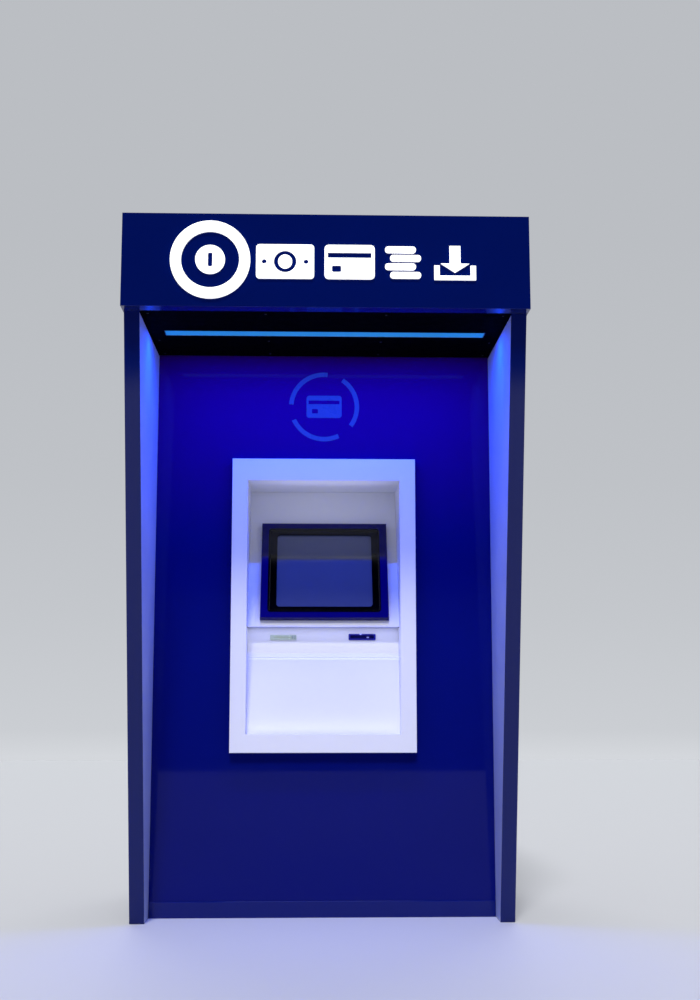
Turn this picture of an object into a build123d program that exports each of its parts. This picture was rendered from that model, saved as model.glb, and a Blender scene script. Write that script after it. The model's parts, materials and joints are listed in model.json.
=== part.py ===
"""A free-standing cash machine: a canopied surround with a touch-screen fascia, and the machine behind it.

Millimetres, +Z up, the user stands on the -Y side. Lengths named *_y are measured back from the front
face of the blue back panel. The finished model is moved so that the origin is at the middle of the
footprint, on the floor.
"""
import math
import os

from build123d import *

# ---------------------------------------------------------------- fits
seat_gap = 0.3  # between pieces of different bodies that lie face to face
slip_gap = 0.5  # round a piece that drops into a frame
running_gap = 0.06  # radial, a shaft in its bore
hole_gap = 0.4  # radial, a bolt or foot in its hole

# ---------------------------------------------------------------- surround
inner_width = 1166.0  # clear width between the two fins
side_thickness = 48.5
side_height = 1928.0  # floor to the underside of the canopy
fin_reach_top = 562.0  # how far the fins stand forward of the panel, at the top
fin_reach_foot = 109.0  # and at the floor
housing_depth = 640.0  # panel face to the rear edge of the sides
sheet = 2.5
liner_thickness = 6.0
rib_width = 30.0
side_rib_count = 5
panel_thickness = 6.0
angle_leg = 32.0
angle_wall = 3.0
kick_height = 54.0
kick_thickness = 4.0
roof_thickness = 3.0

# ---------------------------------------------------------------- canopy
header_height = 298.0
header_reach = 623.0  # panel face to the front of the header
header_back_y = 150.0
header_overhang = 3.0
header_lip = 52.0
soffit_thickness = 6.0
arm_width = 38.0
arm_height = 44.0
led_length = 1061.0
led_width = 60.0
led_reach = 303.0  # panel face to the middle of the light
led_depth = 24.0
led_wall = 2.0
diffuser_thickness = 3.0
emblem_diameter = 248.0
emblem_band = 34.0
emblem_proud = 10.0
emblem_x = -360.0
emblem_rise = 148.0  # underside of the header to the middle of the emblem

# ---------------------------------------------------------------- base
foot_rise = 12.0  # floor to the underside of the base rails
rail_height = 50.0
rail_width = 40.0
rail_wall = 3.0
foot_pad_radius = 25.0
foot_stem_radius = 8.0
anchor_hole_radius = 7.0
anchor_pitch_x = 400.0
anchor_pitch_y = 340.0
anchor_front_y = 130.0

# ---------------------------------------------------------------- fascia and niche
frame_width = 637.0
frame_bottom = 544.0
frame_top = 1555.0
frame_proud = 27.0
frame_border = 53.5  # width of the fascia frame on each side of the niche
niche_bottom = 606.0
niche_top = 1480.0
niche_wall = 3.0
niche_flange = 26.0
screen_tilt = 24.9  # degrees that the screen leans back
overhang_z = 974.0  # lower edge of the leaning wall
console_top_y = 92.0
console_foot_y = 68.0
console_foot_z = 866.0
ledge_y = 60.0  # front of the ledge under the console
lower_panel_foot_y = 14.0

# ---------------------------------------------------------------- monitor
monitor_x = 4.0
monitor_foot_y = 28.3
monitor_foot_z = 1004.3
surround_width = 450.0
surround_height = 386.0
surround_proud = 22.0
bezel_width = 391.0
bezel_height = 329.0
bezel_recess = 4.0
bezel_thickness = 6.0
screen_width = 338.0
screen_height = 295.0
screen_corner = 12.0
glass_thickness = 4.0
monitor_depth = 52.0

# ---------------------------------------------------------------- slots in the console
slot_rise = 64.0  # foot of the console to the lower edge of both slot bezels
slot_proud = 5.0
card_bezel_width = 92.0
card_bezel_height = 17.5
card_bezel_x = -140.0
card_slot_width = 57.0
card_slot_height = 3.0
note_bezel_width = 95.0
note_bezel_height = 21.5
note_bezel_x = 136.5
note_mouth_width = 82.0
note_mouth_height = 11.0
bezel_stem_inset = 3.0  # how much smaller the part behind the console is
bezel_stem_depth = 12.0
gate_thickness = 1.4
gate_travel = 5.0
shutter_thickness = 2.0
shutter_overlap = 1.5
shutter_travel = 14.0

# ---------------------------------------------------------------- note transport
transport_width = 110.0
transport_plate = 3.0
path_gap = 8.0
path_wall = 2.0
path_y = 190.0  # the upright run of the note path
path_bend_radius = 60.0
roller_radius = 15.0
roller_width = 18.0
roller_spread = 26.0
shaft_radius = 4.0
roller_z = 740.0
roller_nip = 0.6
gear_module = 1.5
drive_gear_teeth = 30
pinion_teeth = 14
gear_width = 6.0
motor_radius = 16.0
motor_shaft_radius = 3.0
motor_length = 46.0

# ---------------------------------------------------------------- upper cabinet
cabinet_inset = 18.5  # side of the fascia frame to the side of the cabinet
cabinet_top = 1600.0
cabinet_rear_y = 556.0
cabinet_sheet = 2.0
cabinet_flange = 22.0
shelf_z = 884.0
service_door_depth = 22.0
service_door_sheet = 2.0
hinge_pin_radius = 3.0
knuckle_radius = 6.0
knuckle_length = 28.0
hinge_standoff = 4.0
hinge_leaf_width = 40.0
hinge_leaf_overrun = 4.0  # how far a leaf runs past its knuckles
hinge_pin_overrun = 3.0
louvre_width = 170.0
louvre_height = 6.0
louvre_pitch = 20.0
louvre_rows = 7
louvre_low = 90.0  # lower edge of the door to the middle of the lowest louvre
louvre_columns = (-150.0, 130.0)
grille_rows = 9
grille_pitch = 12.0
grille_slot_height = 7.0
latch_radius = 9.0
latch_inset = 38.0  # left edge of the door to the latch
latch_grip_gap = 5.0  # cabinet flange to the latch's cam
fan_size = 120.0
fan_depth = 25.0
fan_blades = 7
fan_x = -110.0
fan_z = 1440.0

# ---------------------------------------------------------------- electronics
module_inset = 14.0  # cabinet wall to the computer and the power supply
module_rear_gap = 34.0  # rear of the cabinet to their sockets
pc_width = 324.0
pc_depth = 160.0
pc_height = 240.0
pc_fan_radius = 42.0
pc_port_count = 4
power_supply_width = 200.0
power_supply_depth = 230.0
power_supply_height = 124.0
power_supply_slots = 6
reader_depth = 205.0
reader_setback = 45.0  # console's top edge to the front of the card reader's body
reader_rise = 34.0  # slot to the top of the card reader

# ---------------------------------------------------------------- safe
safe_width = 500.0
safe_height = 530.0
safe_front_y = 70.0
safe_wall = 12.0
jamb_side = 28.0
jamb_end = 24.0
jamb_depth = 36.0
safe_door_plate = 16.0
plug_depth = 28.0
plug_gap = 7.0
plug_wall = 4.0
safe_pin_radius = 7.0
safe_knuckle_radius = 13.0
safe_knuckle_length = 44.0
safe_hinge_standoff = 8.0  # side of the safe to the hinge pin
safe_hinge_setback = 4.0  # outer face of the door to the hinge pin
safe_bracket_reach = 60.0
safe_strap_reach = 110.0
safe_strap_thickness = 10.0
safe_pin_overrun = 6.0
safe_plate_inset = 14.0
safe_plate_margin = 4.0
bolt_radius = 9.0
bolt_count = 3
bolt_spacing = 150.0
bolt_bar_width = 20.0
bolt_bar_depth = 12.0
bolt_gear_module = 2.0
bolt_gear_teeth = 16
handle_x = -60.0
handle_z = 250.0
handle_spindle_radius = 8.0
handle_length = 118.0
dial_z = 430.0
dial_radius = 30.0
dial_spindle_radius = 4.0

# ---------------------------------------------------------------- modules
cassette_count = 4
cassette_x = 120.0
cassette_width = 190.0
cassette_height = 90.0
cassette_depth = 285.0
cassette_gap = 5.0
reject_height = 72.0
chassis_plate = 4.0

# ---------------------------------------------------------------- derived places
half_inner = inner_width / 2
half_outer = half_inner + side_thickness
header_top = side_height + header_height
base_top = foot_rise + rail_height
safe_top = base_top + safe_height
safe_rear_y = cabinet_rear_y
plug_front_y = safe_rear_y - plug_depth
panel_back_y = panel_thickness
frame_half = frame_width / 2
half_niche = frame_half - frame_border
half_cabinet = frame_half - cabinet_inset
origin_shift = (header_reach + emblem_proud - housing_depth) / 2

tilt = math.radians(screen_tilt)
monitor_plane = Plane(
    origin=(monitor_x, monitor_foot_y, monitor_foot_z),
    x_dir=(1, 0, 0),
    z_dir=(0, -math.cos(tilt), math.sin(tilt)),
)
wall_set_back = surround_proud / math.cos(tilt)


def wall_y(z):
    """Front of the leaning wall behind the monitor, at height z."""
    return monitor_foot_y + (z - monitor_foot_z) * math.tan(tilt) + wall_set_back


console_rise = overhang_z - niche_wall - console_foot_z
console_lean = math.atan2(console_top_y - console_foot_y, console_rise)
console_length = math.hypot(console_top_y - console_foot_y, console_rise)
console_plane = Plane(
    origin=(0, console_foot_y, console_foot_z),
    x_dir=(1, 0, 0),
    z_dir=(0, -math.cos(console_lean), math.sin(console_lean)),
)


# ---------------------------------------------------------------- helpers
def block(x, y, z):
    """A box between three pairs of limits."""
    low = Vector(x[0], y[0], z[0])
    high = Vector(x[1], y[1], z[1])
    return Pos(*((low + high) * 0.5)) * Box(*(high - low))


def both(half):
    """Limits that lie evenly about zero."""
    return (-half, half)


def around(centre, width):
    """Limits that lie evenly about a centre."""
    return (centre - width / 2, centre + width / 2)


def prism_x(outline, x):
    """An outline of (y, z) points, drawn out along X between two limits."""
    face = make_face(Polyline([(x[0], y, z) for y, z in outline], close=True))
    return extrude(face, x[1] - x[0], dir=(1, 0, 0))


def rod(centre, radius, span, axis):
    """A round bar along one axis: span gives its limits on that axis, centre the other two values."""
    length = span[1] - span[0]
    bar = Cylinder(radius, length, align=(Align.CENTER, Align.CENTER, Align.MIN))
    if axis == "x":
        return Pos(span[0], centre[0], centre[1]) * Rot(0, 90, 0) * bar
    if axis == "y":
        return Pos(centre[0], span[0], centre[1]) * Rot(-90, 0, 0) * bar
    return Pos(centre[0], centre[1], span[0]) * bar


def box_tube(x, y, z, wall, along):
    """A square tube: its wall is taken off both sides of every axis but the one it runs along."""
    limits = {"x": x, "y": y, "z": z}
    inner = {key: (low + wall, high - wall) for key, (low, high) in limits.items()}
    inner[along] = (limits[along][0] - 1, limits[along][1] + 1)
    return block(x, y, z) - block(inner["x"], inner["y"], inner["z"])


def mirrored(shape):
    return mirror(shape, Plane.YZ)


def group(shapes):
    """Separate solids that share one node."""
    return Compound([solid for shape in shapes for solid in shape.solids()])


def turned(outline, y0):
    """A solid of revolution about an axis along Y, from (radius, y) points measured from y0."""
    face = make_face(Polyline([(radius, y0 + y) for radius, y in outline], close=True))
    return revolve(face, Axis.Y)


def gear_outline(module, teeth, phase):
    """Involute gear outline with stub teeth; phase is the angle of one tooth's middle."""
    pressure = math.radians(20)
    pitch_radius = module * teeth / 2
    base_radius = pitch_radius * math.cos(pressure)
    root_radius = pitch_radius - module
    tip_radius = pitch_radius + 0.75 * module
    backlash = 0.12 * module
    half_tooth = math.pi / (2 * teeth) - backlash / (2 * pitch_radius)
    involute = math.tan(pressure) - pressure
    first = max(base_radius, root_radius)
    radii = [first + (tip_radius - first) * step / 3 for step in range(4)]

    def half_angle(radius):
        local = math.acos(min(1.0, base_radius / radius))
        return half_tooth + involute - (math.tan(local) - local)

    points = []
    for tooth in range(teeth):
        middle = phase + 2 * math.pi * tooth / teeth
        flank = [(radius, half_angle(radius)) for radius in radii]
        if root_radius < first:
            flank.insert(0, (root_radius, half_angle(first)))
        side = [(radius, middle - angle) for radius, angle in flank]
        side += [(radius, middle + angle) for radius, angle in reversed(flank)]
        points += [(radius * math.cos(angle), radius * math.sin(angle)) for radius, angle in side]
    return points


def hinge_axis_z(low, high, count):
    """Lower ends of evenly spread hinges between two heights."""
    pitch = (high - low) / count
    return [low + pitch * (index + 0.5) for index in range(count)]


# ---------------------------------------------------------------- surround
def side_outline(inset=0.0):
    """Side view of a fin and the cabinet side behind it, as (y, z), moved in by inset all round."""
    slope = (fin_reach_top - fin_reach_foot) / side_height
    lean = inset * math.hypot(1, slope)
    low = inset
    high = side_height - inset

    def front(z):
        return -(fin_reach_foot + slope * z) + lean

    rear = housing_depth - inset
    return [(front(low), low), (front(high), high), (rear, high), (rear, low)]


def rib_heights():
    """Middles of the stiffening ribs in a side."""
    pitch = side_height / (side_rib_count + 1)
    return [pitch * (index + 1) for index in range(side_rib_count)]


def right_side_shell():
    """Folded sheet tray, open towards the inside, with angle posts and ribs that carry the liner."""
    tray = prism_x(side_outline(), (half_inner, half_outer))
    tray -= prism_x(side_outline(sheet), (half_inner - 1, half_outer - sheet))
    inside = prism_x(side_outline(sheet), (half_inner + liner_thickness, half_outer - sheet))
    z = (sheet, side_height - sheet)
    for face_y, along in ((0, rib_width), (housing_depth - rib_width, rib_width - sheet)):
        tray += block((half_inner, half_outer - sheet), (face_y, face_y + angle_wall), z)
        tray += block((half_inner, half_inner + angle_wall), (face_y, face_y + along), z)
    lip_x = (half_inner + liner_thickness, half_inner + liner_thickness + angle_wall)
    for height in rib_heights():
        web = block((half_inner, half_outer), (-header_reach, housing_depth), (height, height + angle_wall))
        lip = block(lip_x, (-header_reach, housing_depth), around(height, rib_width))
        tray += web & inside
        tray += lip & inside
    return tray


def right_fin_liner():
    """White facing let into the fin, from its front edge to the panel."""
    outline = side_outline(sheet + slip_gap)
    front_low, front_high = outline[0], outline[1]
    fin = [front_low, front_high, (-slip_gap, front_high[1]), (-slip_gap, front_low[1])]
    return prism_x(fin, (half_inner, half_inner + liner_thickness))


def header_shell():
    """Light box of folded sheet: front, sides, top and back, with a lip turned in all round below."""
    half = half_outer + header_overhang
    y = (-header_reach, header_back_y)
    z = (side_height, header_top)
    shell = block(both(half), y, z)
    shell -= block(
        both(half - sheet), (y[0] + sheet, y[1] - sheet), (z[0] + sheet, z[1] - sheet)
    )
    opening = block(
        both(half_inner), (y[0] + header_lip, y[1] - header_lip), (z[0] - 1, z[0] + sheet + 1)
    )
    shell -= opening
    front_edges = shell.edges().filter_by(Axis.X).filter_by(lambda edge: edge.center().Y < y[0] + 0.1)
    return fillet(front_edges, sheet / 2)


def header_frame():
    """Welded frame in the light box: two arms on the sides' top edges and cross tubes over the soffit."""
    arm_y = (-header_reach + sheet + slip_gap, header_back_y - sheet - slip_gap)
    arm_z = (side_height + sheet, side_height + sheet + arm_height)
    arm_x = (half_inner + slip_gap, half_inner + slip_gap + arm_width)
    right = box_tube(arm_x, arm_y, arm_z, rail_wall, "y")
    cross_z = (side_height + soffit_thickness, arm_z[1])
    frame = right + mirrored(right)
    half = half_inner + slip_gap
    light_edge = led_width / 2 + rail_width
    places = [-header_reach + header_lip + rail_width, -led_reach - light_edge, -led_reach + light_edge]
    for middle in places + [-rail_width / 2, header_back_y - header_lip - rail_width]:
        frame += box_tube(both(half), around(middle, rail_width), cross_z, rail_wall, "x")
    return frame


def soffit_panel():
    """Black ceiling of the bay, with a slot for the light."""
    y = (-header_reach + header_lip + slip_gap, -slip_gap)
    panel = block(both(half_inner - slip_gap), y, (side_height, side_height + soffit_thickness))
    return panel - light_pocket(slip_gap, side_height - 1, side_height + soffit_thickness + 1)


def light_pocket(gap, low, high):
    """Space that the light takes, with a gap round it."""
    return block(
        both(led_length / 2 + gap), around(-led_reach, led_width + 2 * gap), (low, high)
    )


def led_profile():
    """Aluminium channel with side flanges that lie on the soffit."""
    low = side_height
    high = low + led_depth
    profile = light_pocket(0, low, high)
    cavity = block(
        both(led_length / 2 - led_wall),
        around(-led_reach, led_width - 2 * led_wall),
        (low - 1, high - led_wall),
    )
    flange = block(
        both(led_length / 2),
        around(-led_reach, led_width + rail_width),
        (side_height + soffit_thickness, side_height + soffit_thickness + led_wall),
    )
    return profile + flange - cavity


def led_diffuser():
    """Opal strip that closes the mouth of the channel."""
    return block(
        both(led_length / 2 - led_wall),
        around(-led_reach, led_width - 2 * led_wall),
        (side_height + 1, side_height + 1 + diffuser_thickness),
    )


def emblem_ring():
    """Raised round sign on the header, plain, with eased edges."""
    outer = emblem_diameter / 2
    inner = outer - emblem_band
    ease = 2.0
    section = [
        (inner, 0), (inner, -emblem_proud + ease), (inner + ease, -emblem_proud),
        (outer - ease, -emblem_proud), (outer, -emblem_proud + ease), (outer, 0),
    ]
    ring = turned(section, 0)
    return Pos(emblem_x, -header_reach, side_height + emblem_rise) * ring


def roof_panel():
    """Top sheet behind the light box, with its rear edge folded down between the sides."""
    y = (header_back_y + slip_gap, housing_depth)
    roof = block(both(half_outer), y, (side_height, side_height + roof_thickness))
    fold = block(
        both(half_inner - slip_gap), (y[1] - roof_thickness, y[1]), (side_height - angle_leg, side_height)
    )
    swage = Box(inner_width - 4 * rib_width, rib_width, roof_thickness)
    swages = [Pos(0, middle, side_height + roof_thickness * 1.5) * swage
              for middle in (y[0] + (y[1] - y[0]) / 3, y[0] + (y[1] - y[0]) * 2 / 3)]
    return roof + fold + swages


def back_panel():
    """Glossy blue panel between the fins, cut out for the niche."""
    panel = block(both(half_inner - slip_gap), (0, panel_thickness), (slip_gap, side_height - slip_gap))
    half = half_niche + niche_wall + slip_gap
    cut = block(
        both(half), (-1, panel_thickness + 1),
        (niche_bottom - niche_wall - slip_gap, niche_top + niche_wall + slip_gap),
    )
    return panel - cut


def panel_angles():
    """Upright angles in the corners, which screw the panel to the two sides."""
    leg_y = (panel_back_y, panel_back_y + angle_leg)
    z = (base_top, side_height - rib_width)
    outer = block((half_inner - angle_leg, half_inner), leg_y, z)
    inner = block(
        (half_inner - angle_leg - 1, half_inner - angle_wall),
        (leg_y[0] + angle_wall, leg_y[1] + 1),
        (z[0] - 1, z[1] + 1),
    )
    right = outer - inner
    return group([right, mirrored(right)])


def panel_stiffeners():
    """Three square tubes across the back of the panel: one over the cabinet, two under the niche."""
    half = half_inner - angle_leg - slip_gap
    y = (panel_back_y, panel_back_y + rib_width)
    step = (frame_bottom - base_top) / 3
    rows = [base_top + step, base_top + 2 * step, (side_height + cabinet_top) / 2]
    return group([box_tube(both(half), y, around(row, rib_width), rail_wall, "x") for row in rows])


def kick_plate():
    """Skirting across the foot of the panel."""
    plate = block(both(half_inner - slip_gap), (-kick_thickness, 0), (0, kick_height))
    top = plate.edges().filter_by(Axis.X).sort_by(Axis.Z)[-2:]
    return chamfer(top.sort_by(Axis.Y)[0], kick_thickness / 2)


# ---------------------------------------------------------------- base
def base_rails_y():
    """Front and rear limits of the base."""
    return (panel_back_y + slip_gap, housing_depth - sheet - slip_gap)


def foot_places():
    """Middles of the four feet."""
    x = half_inner - slip_gap - foot_pad_radius
    y = base_rails_y()
    return [(sx * x, place) for sx in (-1, 1) for place in (y[0] + 2 * rail_width, y[1] - 2 * rail_width)]


def base_side_rails():
    """Two square tubes front to back, drilled for the feet."""
    x = (half_inner - slip_gap - rail_width, half_inner - slip_gap)
    right = box_tube(x, base_rails_y(), (foot_rise, base_top), rail_wall, "y")
    rails = right + mirrored(right)
    for x_foot, y_foot in foot_places():
        rails -= rod((x_foot, y_foot), foot_stem_radius + hole_gap, (0, foot_rise + rail_height / 2), "z")
    return group([rails])


def base_cross_rails():
    """Four tubes between the side rails; the middle two carry the safe and are drilled for floor anchors."""
    half = half_inner - slip_gap - rail_width
    y = base_rails_y()
    middles = [y[0] + rail_width / 2, anchor_front_y, anchor_front_y + anchor_pitch_y, y[1] - rail_width / 2]
    rails = []
    for middle in middles:
        rail = box_tube(both(half), around(middle, rail_width), (foot_rise, base_top), rail_wall, "x")
        if middle in middles[1:3]:
            for x in both(anchor_pitch_x / 2):
                rail -= rod((x, middle), anchor_hole_radius, (0, base_top + 1), "z")
        rails.append(rail)
    return group(rails)


def levelling_feet():
    """Four screw feet: a pad, a nut under the rail and a stem up inside it."""
    pad = foot_pad_radius
    stem = foot_stem_radius
    stem_top = base_top - 3 * rail_wall
    section = [(0, 0), (pad, 0), (pad, 3), (stem, 6), (stem, stem_top), (0, stem_top)]
    profile = make_face(Polyline([(radius, 0, z) for radius, z in section], close=True))
    foot = revolve(profile, Axis.Z)
    nut = extrude(RegularPolygon(1.6 * stem, 6), foot_rise - 6)
    foot += Pos(0, 0, 6) * nut
    return group([Pos(x, y, 0) * foot for x, y in foot_places()])


def power_inlet():
    """Mains inlet box on the rear cross rail, with its recessed socket facing back."""
    width, height, depth = 58.0, 36.0, 30.0
    x = around(-half_inner / 2, width)
    rear = housing_depth - sheet - slip_gap
    z = (base_top, base_top + height)
    body = block(x, (rear - depth, rear), z)
    socket = block(
        around(-half_inner / 2, width - 30), (rear - depth * 0.6, rear + 1), around(base_top + height / 2, 20)
    )
    return body - socket


# ---------------------------------------------------------------- fascia and niche
def fascia_frame():
    """White frame round the niche, rebated behind for the niche's flange."""
    frame = block(both(frame_half), (-frame_proud, 0), (frame_bottom, frame_top))
    front = frame.edges().filter_by(lambda edge: edge.center().Y < 0.1 - frame_proud)
    frame = fillet(front, 2.0)
    frame -= block(both(half_niche), (-frame_proud - 1, 1), (niche_bottom, niche_top))
    rebate = niche_flange + slip_gap
    frame -= block(
        both(half_niche + rebate), (-niche_wall - slip_gap, 1), (niche_bottom - rebate, niche_top + rebate)
    )
    return frame


def cheek_outline():
    """Side view of the recess as (y, z): it runs behind the leaning wall, the console and the apron."""
    behind = 2 * niche_wall
    return [
        (0, niche_bottom - niche_wall),
        (0, niche_top + niche_wall),
        (wall_y(niche_top) + behind, niche_top + niche_wall),
        (wall_y(overhang_z) + behind, overhang_z - niche_wall),
        (console_top_y + behind, overhang_z - niche_wall),
        (console_foot_y + behind, console_foot_z - niche_wall),
        (lower_panel_foot_y + behind, niche_bottom - niche_wall),
    ]


def niche_liner():
    """Side cheeks, ceiling and sill in one moulding, with a flange that the fascia frame covers."""
    outer = prism_x(cheek_outline(), both(half_niche + niche_wall))
    flange = block(
        both(half_niche + niche_flange),
        (-niche_wall, 0),
        (niche_bottom - niche_flange, niche_top + niche_flange),
    )
    hollow = block(both(half_niche), (-niche_wall - 1, housing_depth), (niche_bottom, niche_top))
    return outer + flange - hollow


def leaning_slab(low, high, front, back, half):
    """A slab parallel to the screen, between two distances behind its face and two heights on its slope."""
    return monitor_plane.location * block(both(half), (low, high), (-back, -front))


def monitor_wall():
    """Leaning wall behind the screen: cut out for the monitor, its foot folded back over the console."""
    half = half_niche - seat_gap
    low_y = wall_y(overhang_z)
    high_z = niche_top - seat_gap
    lift = niche_wall / math.cos(tilt)
    outline = [
        (low_y, overhang_z), (wall_y(high_z), high_z), (wall_y(high_z) + lift, high_z),
        (low_y + lift + niche_wall * math.tan(tilt), overhang_z + niche_wall),
        (console_top_y, overhang_z + niche_wall), (console_top_y, overhang_z),
    ]
    wall = prism_x(outline, both(half))
    inset = (surround_height - bezel_height) / 2
    return wall - leaning_slab(
        inset - slip_gap, surround_height - inset + slip_gap, surround_proud - 1,
        surround_proud + 3 * niche_wall, bezel_width / 2 + slip_gap,
    )


def console_panel():
    """White console under the overhang, with two cut-outs for the slot bezels."""
    half = half_niche - seat_gap
    foot = niche_wall * math.tan(console_lean)
    plate = block(both(half), (foot, console_length - seat_gap), (-niche_wall, 0))
    for x, width, height in (
        (card_bezel_x, card_bezel_width, card_bezel_height),
        (note_bezel_x, note_bezel_width, note_bezel_height),
    ):
        stem = bezel_stem_inset - seat_gap
        plate -= block(
            around(x, width - 2 * stem), (slot_rise + stem, slot_rise + height - stem), (-niche_wall - 1, 1)
        )
    return console_plane.location * plate


def lower_panel():
    """White apron: a ledge under the console, an eased edge and a face that comes forward to the sill."""
    half = half_niche - seat_gap
    ledge_z = console_foot_z - seat_gap
    ease = 5.0
    back = console_foot_y + 2 * niche_wall
    slope = (ledge_y - lower_panel_foot_y) / (ledge_z - ease - niche_bottom)
    outline = [
        (lower_panel_foot_y, niche_bottom + seat_gap), (ledge_y, ledge_z - ease), (ledge_y + ease, ledge_z),
        (back, ledge_z), (back, ledge_z - niche_wall), (ledge_y + ease, ledge_z - niche_wall),
        (ledge_y + niche_wall + 1, ledge_z - ease - niche_wall),
        (lower_panel_foot_y + niche_wall + slope, niche_bottom + seat_gap),
    ]
    return prism_x(outline, both(half))


# ---------------------------------------------------------------- monitor
def monitor_surround():
    """Navy outer bezel that stands proud of the leaning wall, with a bevel round the screen."""
    height = (surround_height - bezel_height) / 2
    ring = block(both(surround_width / 2), (0, surround_height), (-surround_proud, 0))
    front = ring.edges().filter_by(lambda edge: edge.center().Z > -0.1)
    ring = fillet(front, 2.5)
    window = Pos(0, surround_height / 2, 0) * Rectangle(bezel_width - 8, bezel_height - 8)
    ring -= extrude(window, -surround_proud - 1)
    pocket = block(
        both(bezel_width / 2), (height, surround_height - height), (-surround_proud - 1, -bezel_recess)
    )
    bevel = loft([
        Pos(0, surround_height / 2, 0.01) * Rectangle(bezel_width, bezel_height),
        Pos(0, surround_height / 2, -bezel_recess) * Rectangle(bezel_width - 8, bezel_height - 8),
    ])
    return monitor_plane.location * (ring - pocket - bevel)


def screen_opening(grow, front, back):
    """Rounded window of the visible screen, between two depths."""
    window = RectangleRounded(screen_width + 2 * grow, screen_height + 2 * grow, screen_corner + grow)
    return Pos(0, surround_height / 2, -back) * extrude(window, back - front)


def screen_bezel():
    """Black inner bezel with a rounded window."""
    front = bezel_recess
    back = front + bezel_thickness
    half = bezel_width / 2 - seat_gap
    plate = Pos(0, surround_height / 2, 0) * block(
        both(half), both(bezel_height / 2 - seat_gap), (-back, -front)
    )
    return monitor_plane.location * (plate - screen_opening(0, front - 1, back + 1))


def touch_glass():
    """Touch screen behind the bezel."""
    front = bezel_recess + bezel_thickness
    plate = Pos(0, surround_height / 2, 0) * block(
        both(bezel_width / 2 - 8), both(bezel_height / 2 - 8), (-front - glass_thickness, -front)
    )
    return monitor_plane.location * plate


def monitor_housing():
    """Back of the monitor: a tray with a smaller stepped cover, slotted for air."""
    front = bezel_recess + bezel_thickness + glass_thickness
    step = front + monitor_depth / 2
    back = front + monitor_depth
    low = Pos(0, surround_height / 2, 0)
    tray = block(both(bezel_width / 2 - 4), both(bezel_height / 2 - 4), (-step, -front))
    cover = block(both(bezel_width / 2 - 40), both(bezel_height / 2 - 40), (-back, -step))
    rear = cover.edges().filter_by(lambda edge: edge.center().Z < 0.1 - back)
    body = tray + chamfer(rear, 10.0)
    for row in range(5):
        body -= block(both(60), around(20 + 12 * row, 4), (-back - 1, -back + 5))
    return monitor_plane.location * (low * body)


def monitor_bracket():
    """Clamp frame behind the leaning wall that holds the monitor in its cut-out."""
    front = surround_proud + niche_wall
    margin = 18.0
    ring = block(both(surround_width / 2 - 4), both(surround_height / 2 - 4), (-front - niche_wall, -front))
    ring -= block(both(bezel_width / 2 - margin), both(bezel_height / 2 - margin), (-front - 10, -front + 1))
    step = bezel_recess + bezel_thickness + glass_thickness + monitor_depth / 2
    tray_room = block(both(bezel_width / 2 - 4), both(bezel_height / 2 - 4), (-step, -front + 1))
    ring -= tray_room
    strap = block(both(surround_width / 2 - 4), both(12), (-step - niche_wall, -step))
    strap -= block(both(bezel_width / 2 - 40 + 0.3), both(20), (-step - 10, -step + 1))
    cheek = block(
        (bezel_width / 2 - 4, bezel_width / 2 - 4 + niche_wall),
        both(12),
        (-step - niche_wall, -front - niche_wall),
    )
    body = ring + strap + cheek + mirrored(cheek)
    return monitor_plane.location * (Pos(0, surround_height / 2, 0) * body)


# ---------------------------------------------------------------- slots
def slot_bezel(x, width, height, mouth_width, mouth_height):
    """Moulded slot bezel: a proud face, a flared mouth and a stem through the console."""
    middle = slot_rise + height / 2
    face = extrude(Pos(x, middle, 0) * RectangleRounded(width, height, 3.0), slot_proud)
    rim = face.edges().filter_by(lambda edge: edge.center().Z > slot_proud - 0.1)
    face = fillet(rim, 1.2)
    stem = block(
        around(x, width - 2 * bezel_stem_inset), around(middle, height - 2 * bezel_stem_inset),
        (-bezel_stem_depth, 0),
    )
    mouth = block(
        around(x, mouth_width), around(middle, mouth_height), (-bezel_stem_depth - 1, slot_proud + 1)
    )
    flare = loft([
        Pos(x, middle, slot_proud + 0.01) * Rectangle(mouth_width + 3, mouth_height + 3),
        Pos(x, middle, slot_proud - 3) * Rectangle(mouth_width, mouth_height),
    ])
    return face + stem - mouth - flare


def card_slot_bezel():
    """Pale card-reader mouth."""
    body = slot_bezel(card_bezel_x, card_bezel_width, card_bezel_height, card_slot_width, card_slot_height)
    return console_plane.location * body


def card_gate():
    """Thin gate behind the card slot; it rises to let a card in."""
    middle = slot_rise + card_bezel_height / 2
    back = bezel_stem_depth + seat_gap
    gate = block(
        around(card_bezel_x, card_slot_width + 4), around(middle, card_slot_height + 2),
        (-back - gate_thickness, -back),
    )
    return console_plane.location * gate


def card_reader():
    """Motorised card reader: body, side rails and a nose that ends behind the gate."""
    middle = slot_rise + card_bezel_height / 2
    front = bezel_stem_depth + 2 * seat_gap + gate_thickness
    nose = block(around(card_bezel_x, card_bezel_width - 10), around(middle, 24), (-front - 40, -front))
    slit = block(
        around(card_bezel_x, card_slot_width), around(middle, card_slot_height), (-front - 60, -front + 1)
    )
    placed = console_plane.location * (nose - slit)
    level = console_foot_z + slot_rise
    low = shelf_z + cabinet_sheet
    body_y = (console_top_y + reader_setback, console_top_y + reader_setback + reader_depth)
    rail_rise = 4.0
    body = block(
        around(card_bezel_x, card_bezel_width + 10), body_y, (low + rail_rise, level + reader_rise)
    )
    rails = block(
        around(card_bezel_x, card_bezel_width - 20), (body_y[0] + 10, body_y[1] - 10), (low, low + rail_rise)
    )
    neck = block(
        around(card_bezel_x, card_bezel_width - 10), (console_top_y + 20, body_y[0] + 1), around(level, 20)
    )
    return body + rails + placed + neck


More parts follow.
